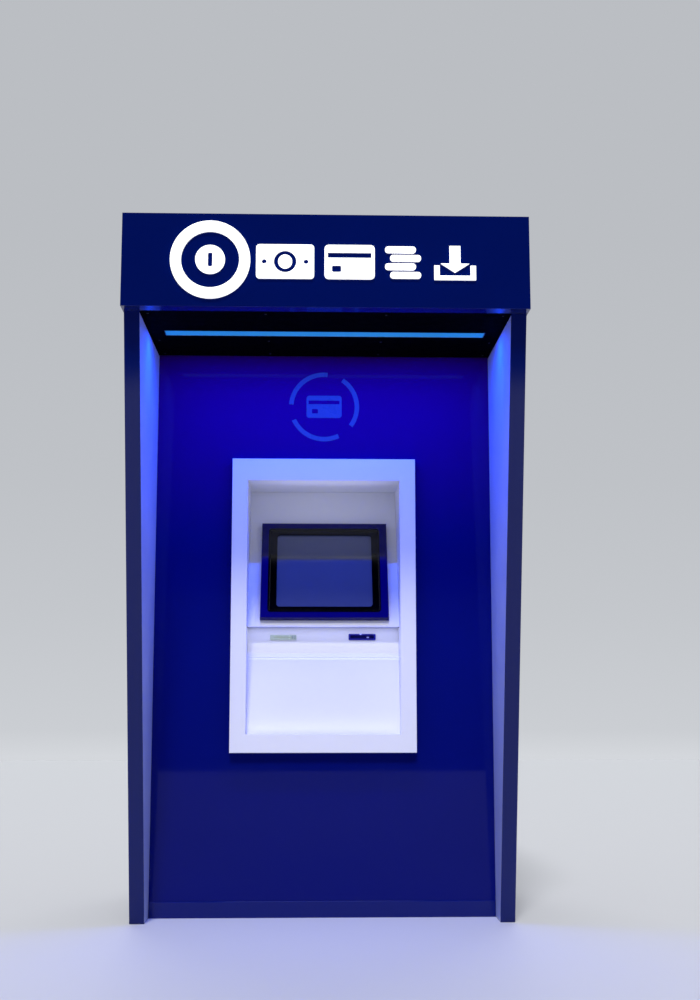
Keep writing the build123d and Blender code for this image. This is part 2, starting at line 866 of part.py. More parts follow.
def note_slot_bezel():
    """Navy note mouth, with the guides that its shutter runs in."""
    body = slot_bezel(note_bezel_x, note_bezel_width, note_bezel_height, note_mouth_width, note_mouth_height)
    middle = slot_rise + note_bezel_height / 2
    shutter_width = note_mouth_width + 2 * shutter_overlap
    low = middle - note_mouth_height / 2 - shutter_overlap - seat_gap
    high = middle + note_mouth_height / 2 + shutter_overlap + shutter_travel + seat_gap
    back = bezel_stem_depth + shutter_thickness + 2 * seat_gap
    guide_wall = 3.0
    guide = block(
        around(note_bezel_x, shutter_width + 2 * guide_wall + 2 * seat_gap), (low - guide_wall, high),
        (-back - guide_wall, -niche_wall),
    )
    above = block(
        around(note_bezel_x, shutter_width + 4 * guide_wall),
        (slot_rise + note_bezel_height - bezel_stem_inset, high + 1),
        (-bezel_stem_depth, 1),
    )
    below = block(
        around(note_bezel_x, shutter_width + 4 * guide_wall),
        (low - guide_wall - 1, slot_rise + bezel_stem_inset),
        (-bezel_stem_depth, 1),
    )
    room = block(
        around(note_bezel_x, shutter_width + 2 * seat_gap), (low, high + 1), (-back, -bezel_stem_depth)
    )
    throat = block(
        around(note_bezel_x, note_mouth_width), (middle - note_mouth_height / 2, high + 1),
        (-back - guide_wall - 1, -bezel_stem_depth),
    )
    mouth = block(
        around(note_bezel_x, note_mouth_width),
        around(middle, note_mouth_height),
        (-bezel_stem_depth - 1, slot_proud + 1),
    )
    return console_plane.location * (body + (guide - above - below) - room - throat - mouth)


def note_shutter():
    """Shutter plate that closes the note mouth and slides up to open it."""
    middle = slot_rise + note_bezel_height / 2
    front = bezel_stem_depth + seat_gap
    plate = block(
        around(note_bezel_x, note_mouth_width + 2 * shutter_overlap),
        around(middle, note_mouth_height + 2 * shutter_overlap),
        (-front - shutter_thickness, -front),
    )
    return console_plane.location * plate


# ---------------------------------------------------------------- note transport
slot_middle = slot_rise + note_bezel_height / 2
path_exit_z = console_foot_z + slot_middle * math.cos(console_lean) - 4.0
path_exit_y = console_top_y + 16.0
transport_low = safe_top + cabinet_sheet
roller_offset = roller_radius + roller_nip / 2
drive_y = path_y + roller_offset
idler_y = path_y - roller_offset
gear_centres = gear_module * (drive_gear_teeth + pinion_teeth) / 2
pinion_y = drive_y + gear_centres
transport_right = note_bezel_x + transport_width / 2


def path_wall_section(near, far):
    """Guide wall between two offsets from the note path: up, round a bend and forward to the slot."""
    bend_y = path_y - path_bend_radius
    bend_z = path_exit_z - path_bend_radius

    def on_bend(offset, angle):
        radius = path_bend_radius + offset
        return (0, bend_y + radius * math.cos(angle), bend_z + radius * math.sin(angle))

    quarter = math.pi / 2
    edges = [
        Line((0, path_y + near, transport_low), on_bend(near, 0)),
        ThreePointArc(on_bend(near, 0), on_bend(near, quarter / 2), on_bend(near, quarter)),
        Line(on_bend(near, quarter), (0, path_exit_y, path_exit_z + near)),
        Line((0, path_exit_y, path_exit_z + near), (0, path_exit_y, path_exit_z + far)),
        Line((0, path_exit_y, path_exit_z + far), on_bend(far, quarter)),
        ThreePointArc(on_bend(far, quarter), on_bend(far, quarter / 2), on_bend(far, 0)),
        Line(on_bend(far, 0), (0, path_y + far, transport_low)),
        Line((0, path_y + far, transport_low), (0, path_y + near, transport_low)),
    ]
    return make_face(edges)


def note_transport():
    """Two side plates and the curved guide walls between them, with windows for the rollers."""
    x = around(note_bezel_x, transport_width)
    margin = path_gap + 20
    motor_edge = pinion_y + motor_radius + 4
    outline = [
        (path_y - margin, transport_low), (motor_edge, transport_low),
        (motor_edge, roller_z + motor_radius + 10), (path_y + margin, roller_z + motor_radius + 40),
        (path_y + margin, path_exit_z), (path_y + margin - 20, path_exit_z + 20),
        (path_exit_y, path_exit_z + 20), (path_exit_y, path_exit_z - 14),
        (path_y - margin, path_exit_z - path_bend_radius),
    ]
    left = prism_x(outline, (x[0], x[0] + transport_plate))
    right = prism_x(outline, (x[1] - transport_plate, x[1]))
    body = left + right
    for near, far in ((path_gap / 2, path_gap / 2 + path_wall), (-path_gap / 2 - path_wall, -path_gap / 2)):
        wall = extrude(path_wall_section(near, far), transport_width, dir=(1, 0, 0))
        body += Pos(x[0], 0, 0) * wall
    for middle in both(roller_spread):
        body -= block(
            around(note_bezel_x + middle, roller_width + 2),
            around(path_y, 2 * path_gap + 2 * path_wall), around(roller_z, 2 * roller_radius),
        )
    for y in (drive_y, idler_y):
        body -= rod((y, roller_z), shaft_radius + running_gap, (x[0] - 1, x[1] + 1), "x")
    through = (x[1] - transport_plate - 1, x[1] + 1)
    return body - rod((pinion_y, roller_z), motor_shaft_radius + hole_gap, through, "x")


def feed_roller(y, right_end):
    """Shaft across both side plates with two rubber tyres on it."""
    x = around(note_bezel_x, transport_width)
    roller = rod((y, roller_z), shaft_radius, (x[0] - transport_plate, right_end), "x")
    for middle in both(roller_spread):
        span = around(note_bezel_x + middle, roller_width)
        roller += rod((y, roller_z), roller_radius, span, "x")
    return roller


def gear_solid(module, teeth, phase, centre, span):
    """Spur gear with its axis along X, at (y, z)."""
    points = [(span[0], centre[0] + y, centre[1] + z) for y, z in gear_outline(module, teeth, phase)]
    return extrude(make_face(Polyline(points, close=True)), span[1] - span[0], dir=(1, 0, 0))


def gear_span():
    """Limits of the gear pair on the outside of the right side plate."""
    return (transport_right + seat_gap, transport_right + seat_gap + gear_width)


def drive_roller():
    """Driven roller with its gear."""
    span = gear_span()
    gear = gear_solid(gear_module, drive_gear_teeth, 0.0, (drive_y, roller_z), span)
    return feed_roller(drive_y, span[1] + 2) + gear


def idler_roller():
    """Pressure roller in front of the driven one."""
    return feed_roller(idler_y, transport_right + transport_plate)


def motor_pinion():
    """Motor shaft and its pinion, in mesh with the driven roller's gear."""
    span = gear_span()
    phase = math.pi + math.pi / pinion_teeth
    pinion = gear_solid(gear_module, pinion_teeth, phase, (pinion_y, roller_z), span)
    shaft = rod((pinion_y, roller_z), motor_shaft_radius, (transport_right - 16, span[1] + 2), "x")
    return pinion + shaft


def feed_motor():
    """Round motor on the inside of the right side plate, bored for its shaft."""
    face = transport_right - transport_plate
    body = rod((pinion_y, roller_z), motor_radius, (face - motor_length, face), "x")
    rim = body.edges().filter_by(GeomType.CIRCLE).sort_by(Axis.X)[0]
    body = chamfer(rim, 2.0)
    return body - rod((pinion_y, roller_z), motor_shaft_radius + running_gap, (face - 18, face + 1), "x")


# ---------------------------------------------------------------- upper cabinet
door_front_y = cabinet_rear_y + seat_gap
door_back_y = door_front_y + service_door_depth
door_low = safe_top + 8.0
door_left = -half_cabinet
door_right = half_cabinet - 2 * hinge_standoff
service_hinge = (half_cabinet + hinge_standoff, door_back_y + hinge_standoff)
latch_x = door_left + latch_inset
latch_z = (door_low + cabinet_top) / 2


def upper_cabinet():
    """Folded sheet housing over the safe: open in front onto the niche, flanged at both ends."""
    y = (panel_back_y, cabinet_rear_y)
    z = (safe_top, cabinet_top)
    inner_z = (z[0] + cabinet_sheet, z[1] - cabinet_sheet)
    half = half_cabinet - cabinet_sheet
    body = block(both(half_cabinet), y, z) - block(both(half), (y[0] - 1, y[1] + 1), inner_z)
    rear = block(both(half), (y[1] - cabinet_sheet, y[1]), inner_z)
    rear -= block(
        both(half - cabinet_flange),
        (y[0], y[1] + 1),
        (inner_z[0] + cabinet_flange, inner_z[1] - cabinet_flange),
    )
    front = block(
        both(half_cabinet + cabinet_flange), (y[0], y[0] + cabinet_sheet), (z[0], z[1] + cabinet_flange)
    )
    front -= block(both(half), (y[0] - 1, y[1]), inner_z)
    body = body + rear + front
    return body - block(
        around(note_bezel_x, transport_width - 4 * transport_plate),
        around(path_y, 2 * path_gap),
        (z[0] - 1, inner_z[0] + 1),
    )


def module_shelf():
    """Shelf for the card reader and the computer: its right edge is folded down to a leg."""
    x = (-half_cabinet + cabinet_sheet, note_bezel_x - transport_width / 2 - 20)
    y = (console_top_y + 30, cabinet_rear_y - cabinet_flange)
    top = block(x, y, (shelf_z, shelf_z + cabinet_sheet))
    lip = block(x, (y[1] - cabinet_sheet, y[1]), (shelf_z - 16, shelf_z))
    leg = block((x[1] - cabinet_sheet, x[1]), y, (safe_top + cabinet_sheet, shelf_z))
    window = block(
        (x[1] - cabinet_sheet - 1, x[1] + 1), (y[0] + 40, y[1] - 40), (safe_top + 40, shelf_z - 40)
    )
    return top + lip + leg - window


def pc_core():
    """Computer: a sheet case with a raised fan boss and a row of sockets in its rear face."""
    left = -half_cabinet + cabinet_sheet + module_inset
    x = (left, left + pc_width)
    y = (cabinet_rear_y - module_rear_gap - pc_depth, cabinet_rear_y - module_rear_gap)
    z = (shelf_z + cabinet_sheet, shelf_z + cabinet_sheet + pc_height)
    case = block(x, y, z)
    case = chamfer(case.edges().filter_by(Axis.Y), 3.0)
    port_pitch = pc_width / (pc_port_count + 2)
    for index in range(pc_port_count):
        port_x = x[0] + port_pitch * (index + 1)
        case -= block(around(port_x, 36), (y[1] - 6, y[1] + 1), around(z[0] + 50, 14))
    boss = ((x[0] + x[1]) / 2, (z[0] + z[1]) / 2 + 30)
    case += rod(boss, pc_fan_radius, (y[1], y[1] + 6), "y")
    return case - rod(boss, pc_fan_radius - 6, (y[1] + 2, y[1] + 7), "y")


def power_supply():
    """Power supply on the cabinet floor, with cooling slots in its rear face."""
    left = -half_cabinet + cabinet_sheet + module_inset
    x = (left, left + power_supply_width)
    y = (cabinet_rear_y - module_rear_gap - power_supply_depth, cabinet_rear_y - module_rear_gap)
    z = (safe_top + cabinet_sheet, safe_top + cabinet_sheet + power_supply_height)
    case = block(x, y, z)
    case = chamfer(case.edges().filter_by(Axis.Y), 2.0)
    slot_pitch = power_supply_width / (power_supply_slots + 2)
    for index in range(power_supply_slots):
        slot_x = x[0] + slot_pitch * (index + 1.5)
        case -= block(around(slot_x, 8), (y[1] - 5, y[1] + 1), (z[0] + 24, z[1] - 24))
    return case


def hinge_knuckle(axis, radius, low, high, bore):
    """Upright hinge knuckle; bore is None where the pin is fixed in it."""
    knuckle = rod(axis, radius, (low, high), "z")
    return knuckle - rod(axis, bore, (low - 1, high + 1), "z") if bore else knuckle


def service_hinge_places():
    return hinge_axis_z(door_low, cabinet_top, 3)


def service_door():
    """Rear door of the cabinet: a folded tray with louvres, a fan grille and its hinge leaves."""
    x = (door_left, door_right)
    z = (door_low, cabinet_top)
    door = block(x, (door_front_y, door_back_y), z)
    upright = door.edges().filter_by(Axis.Z).filter_by(lambda edge: edge.center().Y > door_back_y - 0.1)
    door = fillet(upright, 3.0)
    wall = service_door_sheet
    inside_y = (door_front_y - 1, door_back_y - wall)
    door -= block((x[0] + wall, x[1] - wall), inside_y, (z[0] + wall, z[1] - wall))
    sheet_y = (door_back_y - wall - 1, door_back_y + 1)
    for column in louvre_columns:
        for row in range(louvre_rows):
            middle = door_low + louvre_low + louvre_pitch * row
            door -= block(around(column, louvre_width), sheet_y, around(middle, louvre_height))
    grille = rod((fan_x, fan_z), fan_size / 2 - 6, sheet_y, "y")
    for row in range(grille_rows):
        middle = fan_z + grille_pitch * (row - (grille_rows - 1) / 2)
        door -= grille & block(around(fan_x, fan_size), sheet_y, around(middle, grille_slot_height))
    door -= rod((latch_x, latch_z), latch_radius + running_gap, (door_front_y, door_back_y + 1), "y")
    leaf_y = (door_back_y, door_back_y + cabinet_sheet)
    for low in service_hinge_places():
        middle = low + knuckle_length / 2
        clear = knuckle_radius + cabinet_sheet
        leaf_z = (low - hinge_leaf_overrun, low + knuckle_length + hinge_leaf_overrun)
        door += block((x[1] - hinge_leaf_width, service_hinge[0] - clear), leaf_y, leaf_z)
        moving = (middle + seat_gap, low + knuckle_length)
        door += block((service_hinge[0] - clear - 1, service_hinge[0]), leaf_y, moving)
        door += rod(service_hinge, knuckle_radius, moving, "z")
        door -= rod(service_hinge, hinge_pin_radius + running_gap, (middle, low + knuckle_length + 1), "z")
    return door


def service_hinges():
    """Fixed halves of the service door's hinges: leaf on the cabinet side, knuckle and pin."""
    halves = []
    leaf_x = (half_cabinet, half_cabinet + cabinet_sheet)
    clear = knuckle_radius + cabinet_sheet
    for low in service_hinge_places():
        middle = low + knuckle_length / 2
        leaf_y = (cabinet_rear_y - hinge_leaf_width, service_hinge[1] - clear)
        leaf_z = (low - hinge_leaf_overrun, low + knuckle_length + hinge_leaf_overrun)
        half = block(leaf_x, leaf_y, leaf_z)
        half += block(leaf_x, (service_hinge[1] - clear - 1, service_hinge[1]), (low, middle))
        half += rod(service_hinge, knuckle_radius, (low, middle), "z")
        half += rod(service_hinge, hinge_pin_radius, (low, low + knuckle_length + hinge_pin_overrun), "z")
        halves.append(half)
    return group(halves)


def door_latch():
    """Quarter-turn latch: T grip outside, shaft through the door, cam inside. It rests unlocked."""
    cam_y = cabinet_rear_y - cabinet_sheet - latch_grip_gap
    shaft = rod((latch_x, latch_z), latch_radius, (cam_y - 4, door_back_y + 4), "y")
    rose = turned([(0, 0), (20, 0), (20, 3), (16, 6), (0, 6)], door_back_y + seat_gap)
    grip = block(around(latch_x, 14), (door_back_y + 5, door_back_y + 26), around(latch_z, 62))
    grip = fillet(grip.edges().filter_by(Axis.Y), 6.0)
    cam = block(around(latch_x, 14), (cam_y - 4, cam_y), (latch_z - 30, latch_z))
    return shaft + Pos(latch_x, 0, latch_z) * rose + grip + cam


fan_back_y = door_back_y - service_door_sheet
fan_front_y = fan_back_y - fan_depth


def fan_frame():
    """Square fan frame on the inside of the door, with a round duct and three struts to the hub."""
    frame = block(around(fan_x, fan_size), (fan_front_y, fan_back_y), around(fan_z, fan_size))
    frame = fillet(frame.edges().filter_by(Axis.Y), 5.0)
    frame -= rod((fan_x, fan_z), fan_size / 2 - 3, (fan_front_y - 1, fan_back_y + 1), "y")
    hub_y = (fan_front_y, fan_front_y + 4)
    frame += rod((fan_x, fan_z), 18, hub_y, "y")
    for index in range(3):
        strut = block((0, fan_size / 2 - 1), hub_y, both(2.5))
        frame += Pos(fan_x, 0, fan_z) * (Rot(0, 120 * index + 30, 0) * strut)
    return frame + rod((fan_x, fan_z), 3, (fan_front_y, fan_back_y - 6), "y")


def fan_rotor():
    """Hub and pitched blades, turning on the frame's spindle."""
    y = (fan_front_y + 5, fan_back_y - 4)
    middle = (y[0] + y[1]) / 2
    rotor = rod((0, 0), 19, y, "y")
    for index in range(fan_blades):
        blade = Pos(35, 0, 0) * (Rot(38, 0, 0) * Box(36, 1.8, 20))
        rotor += Rot(0, 360 * index / fan_blades, 0) * Pos(0, middle, 0) * blade
    bore = rod((0, 0), 3 + running_gap, (y[0] - 1, fan_back_y - 5), "y")
    return Pos(fan_x, 0, fan_z) * (rotor - bore)


# ---------------------------------------------------------------- safe
half_safe = safe_width / 2
plate_front_y = safe_rear_y + seat_gap
plate_back_y = plate_front_y + safe_door_plate
safe_hinge = (half_safe + safe_hinge_standoff, plate_back_y + safe_hinge_setback)
opening_half = half_safe - jamb_side
opening_z = (base_top + jamb_end, safe_top - jamb_end)
plug_half = opening_half - plug_gap
plug_z = (opening_z[0] + plug_gap, opening_z[1] - plug_gap)
bolt_y = plug_front_y + plug_depth / 2
bolt_middle_z = (plug_z[0] + plug_z[1]) / 2
bolt_pitch_radius = bolt_gear_module * bolt_gear_teeth / 2
bolt_throw = bolt_pitch_radius * math.pi / 2
bolt_tip_x = -plug_half + 1.0
bolt_bar_x = -plug_half + plug_wall + bolt_throw + 3.0
guide_x = bolt_bar_x + bolt_bar_width + 14.0
bolt_tail_x = guide_x + plug_wall + bolt_throw + 3.0


def bolt_heights():
    """Heights of the door bolts."""
    first = bolt_middle_z - bolt_spacing * (bolt_count - 1) / 2
    return [first + bolt_spacing * index for index in range(bolt_count)]


def safe_body():
    """Thick steel box with a jamb round its rear opening, bored for the bolts and slotted for notes."""
    y = (safe_front_y, safe_rear_y)
    z = (base_top, safe_top)
    body = block(both(half_safe), y, z)
    body = fillet(body.edges().filter_by(Axis.Y), 5.0)
    body -= block(
        both(half_safe - safe_wall),
        (y[0] + safe_wall, y[1] - jamb_depth),
        (z[0] + safe_wall, z[1] - safe_wall),
    )
    body -= block(both(opening_half), (y[1] - jamb_depth - 1, y[1] + 1), opening_z)
    for height in bolt_heights():
        body -= rod((bolt_y, height), bolt_radius + hole_gap, (-half_safe + 2, -opening_half + 1), "x")
    body -= block(
        around(note_bezel_x, transport_width - 4 * transport_plate),
        around(path_y, 2 * path_gap),
        (z[1] - safe_wall - 1, z[1] + 1),
    )
    for x in both(anchor_pitch_x / 2):
        for y_anchor in (anchor_front_y, anchor_front_y + anchor_pitch_y):
            body -= rod((x, y_anchor), anchor_hole_radius, (z[0] - 1, z[0] + safe_wall + 1), "z")
    return body


def safe_hinge_places():
    return hinge_axis_z(base_top, safe_top, 2)


def safe_hinges():
    """Fixed halves of the safe's hinges: side bracket, knuckle and pin."""
    halves = []
    for low in safe_hinge_places():
        middle = low + safe_knuckle_length / 2
        bracket_y = (safe_rear_y - safe_bracket_reach, safe_hinge[1])
        half = block((half_safe, half_safe + safe_hinge_standoff), bracket_y, (low, middle))
        half += rod(safe_hinge, safe_knuckle_radius, (low, middle), "z")
        half += rod(safe_hinge, safe_pin_radius, (low, low + safe_knuckle_length + safe_pin_overrun), "z")
        halves.append(half)
    return group(halves)


def safe_door():
    """Thick door plate with the boltwork tray on its inner side and hinge straps outside."""
    plate_x = (-half_safe, half_safe - safe_plate_inset)
    plate_z = (base_top + safe_plate_margin, safe_top - safe_plate_margin)
    plate = block(plate_x, (plate_front_y, plate_back_y), plate_z)
    outer = plate.edges().filter_by(lambda edge: edge.center().Y > plate_back_y - 0.1)
    door = chamfer(outer, 3.0)
    tray = block(both(plug_half), (plug_front_y, plate_front_y), plug_z)
    tray -= block(
        both(plug_half - plug_wall), (plug_front_y - 1, plate_front_y + 1),
        (plug_z[0] + plug_wall, plug_z[1] - plug_wall),
    )
    door += tray
    for height in bolt_heights():
        guide_z = around(height, 4 * bolt_radius)
        door += block((guide_x, guide_x + plug_wall), (plug_front_y, plate_front_y), guide_z)
        door -= rod((bolt_y, height), bolt_radius + running_gap, (-half_safe, bolt_tail_x), "x")
    through = (plate_front_y - 1, plate_back_y + 1)
    door -= rod((handle_x, handle_z), handle_spindle_radius + running_gap, through, "y")
    door -= rod((handle_x, dial_z), dial_spindle_radius + running_gap, through, "y")
    for low in safe_hinge_places():
        z = (low + safe_knuckle_length / 2 + seat_gap, low + safe_knuckle_length)
        strap_y = (plate_back_y, plate_back_y + safe_strap_thickness)
        strap = block((half_safe - safe_strap_reach, safe_hinge[0]), strap_y, z)
        door += strap + rod(safe_hinge, safe_knuckle_radius, z, "z")
        door -= rod(safe_hinge, safe_pin_radius + running_gap, (z[0] - 1, z[1] + 1), "z")
    return door


def rack_outline(pitch_z, top_z):
    """Straight rack with its teeth downwards, in mesh with the handle's pinion at rest."""
    pitch = math.pi * bolt_gear_module
    slope = math.tan(math.radians(20))
    tooth = pitch / 2 - 0.12 * bolt_gear_module
    root_z = pitch_z + bolt_gear_module
    tip_z = pitch_z - 0.75 * bolt_gear_module
    root_half = tooth / 2 + bolt_gear_module * slope
    tip_half = tooth / 2 - 0.75 * bolt_gear_module * slope
    last = math.ceil(bolt_throw / pitch) + 1
    points = [(bolt_bar_x + 1, top_z), (bolt_bar_x + 1, root_z)]
    for index in range(-2, last + 1):
        middle = handle_x + (index + 0.5) * pitch
        points += [
            (middle - root_half, root_z), (middle - tip_half, tip_z),
            (middle + tip_half, tip_z), (middle + root_half, root_z),
        ]
    end = handle_x + (last + 1) * pitch
    return points + [(end, root_z), (end, top_z)]


def bolt_carriage():
    """Bar that carries the round bolts, with the rack that the handle's pinion drives. It rests drawn."""
    y = around(bolt_y, bolt_bar_depth)
    heights = bolt_heights()
    carriage = block((bolt_bar_x, bolt_bar_x + bolt_bar_width), y, (heights[0] - 14, heights[-1] + 14))
    for height in heights:
        carriage += rod((bolt_y, height), bolt_radius, (bolt_tip_x, bolt_tail_x), "x")
    pitch_z = handle_z + bolt_pitch_radius
    points = [(x, y[0], z) for x, z in rack_outline(pitch_z, pitch_z + 7 * bolt_gear_module)]
    rack = extrude(make_face(Polyline(points, close=True)), bolt_bar_depth, dir=(0, 1, 0))
    return carriage + rack


def safe_handle():
    """Lever handle, its spindle through the door and the pinion that drives the bolts."""
    y = around(bolt_y, bolt_bar_depth - 1)
    outline = gear_outline(bolt_gear_module, bolt_gear_teeth, math.pi / 2)
    points = [(handle_x + x, y[0], handle_z + z) for x, z in outline]
    pinion = extrude(make_face(Polyline(points, close=True)), y[1] - y[0], dir=(0, 1, 0))
    spindle = rod((handle_x, handle_z), handle_spindle_radius, (y[0] - 2, plate_back_y + 24), "y")
    hub = turned([(0, 0), (22, 0), (22, 4), (16, 12), (16, 28), (12, 32), (0, 32)], plate_back_y + seat_gap)
    lever = loft([
        Plane.XY.offset(0) * Pos(0, plate_back_y + 22, 0) * RectangleRounded(24, 14, 5),
        Plane.XY.offset(-handle_length) * Pos(0, plate_back_y + 25, 0) * RectangleRounded(17, 11, 4),
    ])
    return pinion + spindle + Pos(handle_x, 0, handle_z) * (hub + lever)


def lock_case():
    """Combination lock case on the inside of the door plate, bored for the dial's spindle."""
    z = around(dial_z, 62)
    case = block(around(handle_x, 84), (plug_front_y + 4, plate_front_y), z)
    case = fillet(case.edges().filter_by(Axis.Y), 4.0)
    bore_y = (plug_front_y + 8, plate_front_y + 1)
    return case - rod((handle_x, dial_z), dial_spindle_radius + running_gap, bore_y, "y")


def lock_dial():
    """Combination dial: a stepped knob with a fluted grip, on its spindle."""
    knob = turned([(0, 0), (dial_radius, 0), (dial_radius, 5), (dial_radius - 8, 10), (dial_radius - 10, 10),
                   (dial_radius - 12, 26), (0, 26)], plate_back_y + seat_gap)
    for index in range(12):
        flute = rod((dial_radius - 9.5, 0), 2.2, (plate_back_y + 12, plate_back_y + 30), "y")
        knob -= Rot(0, 30 * index, 0) * flute
    spindle = rod((0, 0), dial_spindle_radius, (plug_front_y + 10, plate_back_y + 2), "y")
    return Pos(handle_x, 0, dial_z) * (knob + spindle)


# ---------------------------------------------------------------- cash modules
cassette_rear_y = safe_rear_y - jamb_depth - 6.0
cassette_front_y = cassette_rear_y - cassette_depth
chassis_floor = base_top + safe_wall
cassette_pitch = cassette_height + cassette_gap
stack_top = chassis_floor + chassis_plate + cassette_count * cassette_pitch


def dispenser_chassis():
    """Side plates, floor and the upright guide walls that lift notes from the cassettes to the roof slot."""
    half = cassette_width / 2 + seat_gap + chassis_plate
    x = (cassette_x - half, cassette_x + half)
    y = (path_y - 70, cassette_rear_y - 10)
    z = (chassis_floor, stack_top + reject_height + 10)
    floor = block(x, y, (z[0], z[0] + chassis_plate))
    left = block((x[0], x[0] + chassis_plate), y, z)
    right = block((x[1] - chassis_plate, x[1]), y, z)
    chassis = floor + left + right
    for near in (path_gap / 2, -path_gap / 2 - path_wall):
        chassis += block(x, (path_y + near, path_y + near + path_wall), (z[0], z[1] + 10))
    chassis += block(x, (y[0], y[0] + chassis_plate), (z[0], z[1]))
    for index in range(cassette_count):
        level = stack_top - (index + 1) * cassette_pitch
        for side in (-1, 1):
            runner_x = cassette_x + side * (cassette_width / 2 + seat_gap)
            limits = (runner_x - 8, runner_x) if side > 0 else (runner_x, runner_x + 8)
            if index < cassette_count - 1:
                chassis += block(limits, (cassette_front_y, y[1]), (level - cassette_gap + 1, level))
    for side in (-1, 1):
        runner_x = cassette_x + side * (cassette_width / 2 + seat_gap)
        limits = (runner_x - 8, runner_x) if side > 0 else (runner_x, runner_x + 8)
        chassis += block(limits, (cassette_front_y, y[1]), (stack_top - cassette_gap + 1, stack_top))
    return chassis


def money_box(low, height):
    """Lidded money box with a carrying handle let into its rear end."""
    x = around(cassette_x, cassette_width)
    y = (cassette_front_y, cassette_rear_y)
    box = block(x, y, (low, low + height))
    box = fillet(box.edges().filter_by(Axis.Z), 4.0)
    groove = block((x[0] - 1, x[1] + 1), (y[0] - 1, y[1] + 1), around(low + height * 0.78, 2))
    core = block((x[0] + 1.5, x[1] - 1.5), (y[0] + 1.5, y[1] - 1.5), (low, low + height))
    box -= groove - core
    pocket = block(around(cassette_x, 104), (y[1] - 16, y[1] + 1), around(low + height * 0.42, height * 0.42))
    bar = block(around(cassette_x, 104), (y[1] - 8, y[1] - 1), around(low + height * 0.42, 9))
    return box - pocket + bar


def cash_cassette(index):
    """One of the note cassettes, counted from the bottom of the stack."""
    return money_box(chassis_floor + chassis_plate + index * cassette_pitch, cassette_height)


def reject_bin():
    """Shallow bin for refused notes on top of the cassettes."""
    return money_box(stack_top, reject_height)


# ---------------------------------------------------------------- writing
nodes = {
    "right_side_shell": right_side_shell(),
    "right_fin_liner": right_fin_liner(),
    "header_shell": header_shell(),
    "header_frame": header_frame(),
    "soffit_panel": soffit_panel(),
    "led_profile": led_profile(),
    "led_diffuser": led_diffuser(),
    "emblem_ring": emblem_ring(),
    "roof_panel": roof_panel(),
    "back_panel": back_panel(),
    "panel_rails": group([panel_angles(), panel_stiffeners()]),
    "kick_plate": kick_plate(),
    "base_side_rails": base_side_rails(),
    "base_cross_rails": base_cross_rails(),
    "levelling_feet": levelling_feet(),
    "power_inlet": power_inlet(),
    "fascia_frame": fascia_frame(),
    "niche_liner": niche_liner(),
    "monitor_wall": monitor_wall(),
    "console_panel": console_panel(),
    "lower_panel": lower_panel(),
    "monitor_surround": monitor_surround(),
    "screen_bezel": screen_bezel(),
    "touch_glass": touch_glass(),
    "monitor_housing": monitor_housing(),
    "monitor_bracket": monitor_bracket(),
    "card_slot_bezel": card_slot_bezel(),
    "card_gate": card_gate(),
    "card_reader": card_reader(),
    "note_slot_bezel": note_slot_bezel(),
    "note_shutter": note_shutter(),
    "note_transport": note_transport(),
    "drive_roller": drive_roller(),
    "idler_roller": idler_roller(),
    "motor_pinion": motor_pinion(),
    "feed_motor": feed_motor(),
    "upper_cabinet": upper_cabinet(),
    "module_shelf": module_shelf(),
    "pc_core": pc_core(),
    "power_supply": power_supply(),
    "service_door": service_door(),
    "service_hinges": service_hinges(),
    "door_latch": door_latch(),
    "fan_frame": fan_frame(),
    "fan_rotor": fan_rotor(),
    "safe_body": safe_body(),
    "safe_hinges": safe_hinges(),
    "safe_door": safe_door(),
    "bolt_carriage": bolt_carriage(),
    "safe_handle": safe_handle(),
    "lock_case": lock_case(),
    "lock_dial": lock_dial(),
    "dispenser_chassis": dispenser_chassis(),
    "reject_bin": reject_bin(),
}
nodes["left_side_shell"] = mirrored(nodes["right_side_shell"])
nodes["left_fin_liner"] = mirrored(nodes["right_fin_liner"])
for number in range(cassette_count):
    nodes[f"cash_cassette_{number + 1}"] = cash_cassette(number)

os.makedirs("parts", exist_ok=True)
for node, shape in nodes.items():
    export_step(Pos(0, origin_shift, 0) * shape, f"parts/{node}.step")
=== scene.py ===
"""Looks of the cash machine: finishes for every CAD node, signs, screws and dials, with a plain studio."""
import json
import math

import bmesh
import bpy
from mathutils import Matrix, Vector


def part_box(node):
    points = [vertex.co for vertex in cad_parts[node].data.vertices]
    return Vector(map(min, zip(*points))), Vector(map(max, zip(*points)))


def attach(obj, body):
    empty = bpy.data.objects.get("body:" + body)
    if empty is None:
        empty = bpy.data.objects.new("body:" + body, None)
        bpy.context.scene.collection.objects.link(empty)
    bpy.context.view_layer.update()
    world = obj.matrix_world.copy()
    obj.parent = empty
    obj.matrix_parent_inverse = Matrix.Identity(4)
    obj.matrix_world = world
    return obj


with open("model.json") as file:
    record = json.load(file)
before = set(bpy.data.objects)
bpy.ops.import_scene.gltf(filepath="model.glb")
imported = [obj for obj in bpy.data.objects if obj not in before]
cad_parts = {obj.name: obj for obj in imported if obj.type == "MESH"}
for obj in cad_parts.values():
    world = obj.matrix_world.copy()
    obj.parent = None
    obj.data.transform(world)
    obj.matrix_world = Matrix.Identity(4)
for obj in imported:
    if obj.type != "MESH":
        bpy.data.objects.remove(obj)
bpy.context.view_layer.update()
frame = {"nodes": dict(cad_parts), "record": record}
nodes = frame["nodes"]
MM = 0.001


# ---------------------------------------------------------------- colours
def linear(red, green, blue):
    """Linear colour of an 8-bit sRGB one."""
    def channel(value):
        share = value / 255
        return share / 12.92 if share <= 0.04045 else ((share + 0.055) / 1.055) ** 2.4
    return (channel(red), channel(green), channel(blue), 1.0)


def scaled(colour, factor):
    """Lighter or darker tone of a colour."""
    return tuple(min(1.0, part * factor) for part in colour[:3]) + (1.0,)


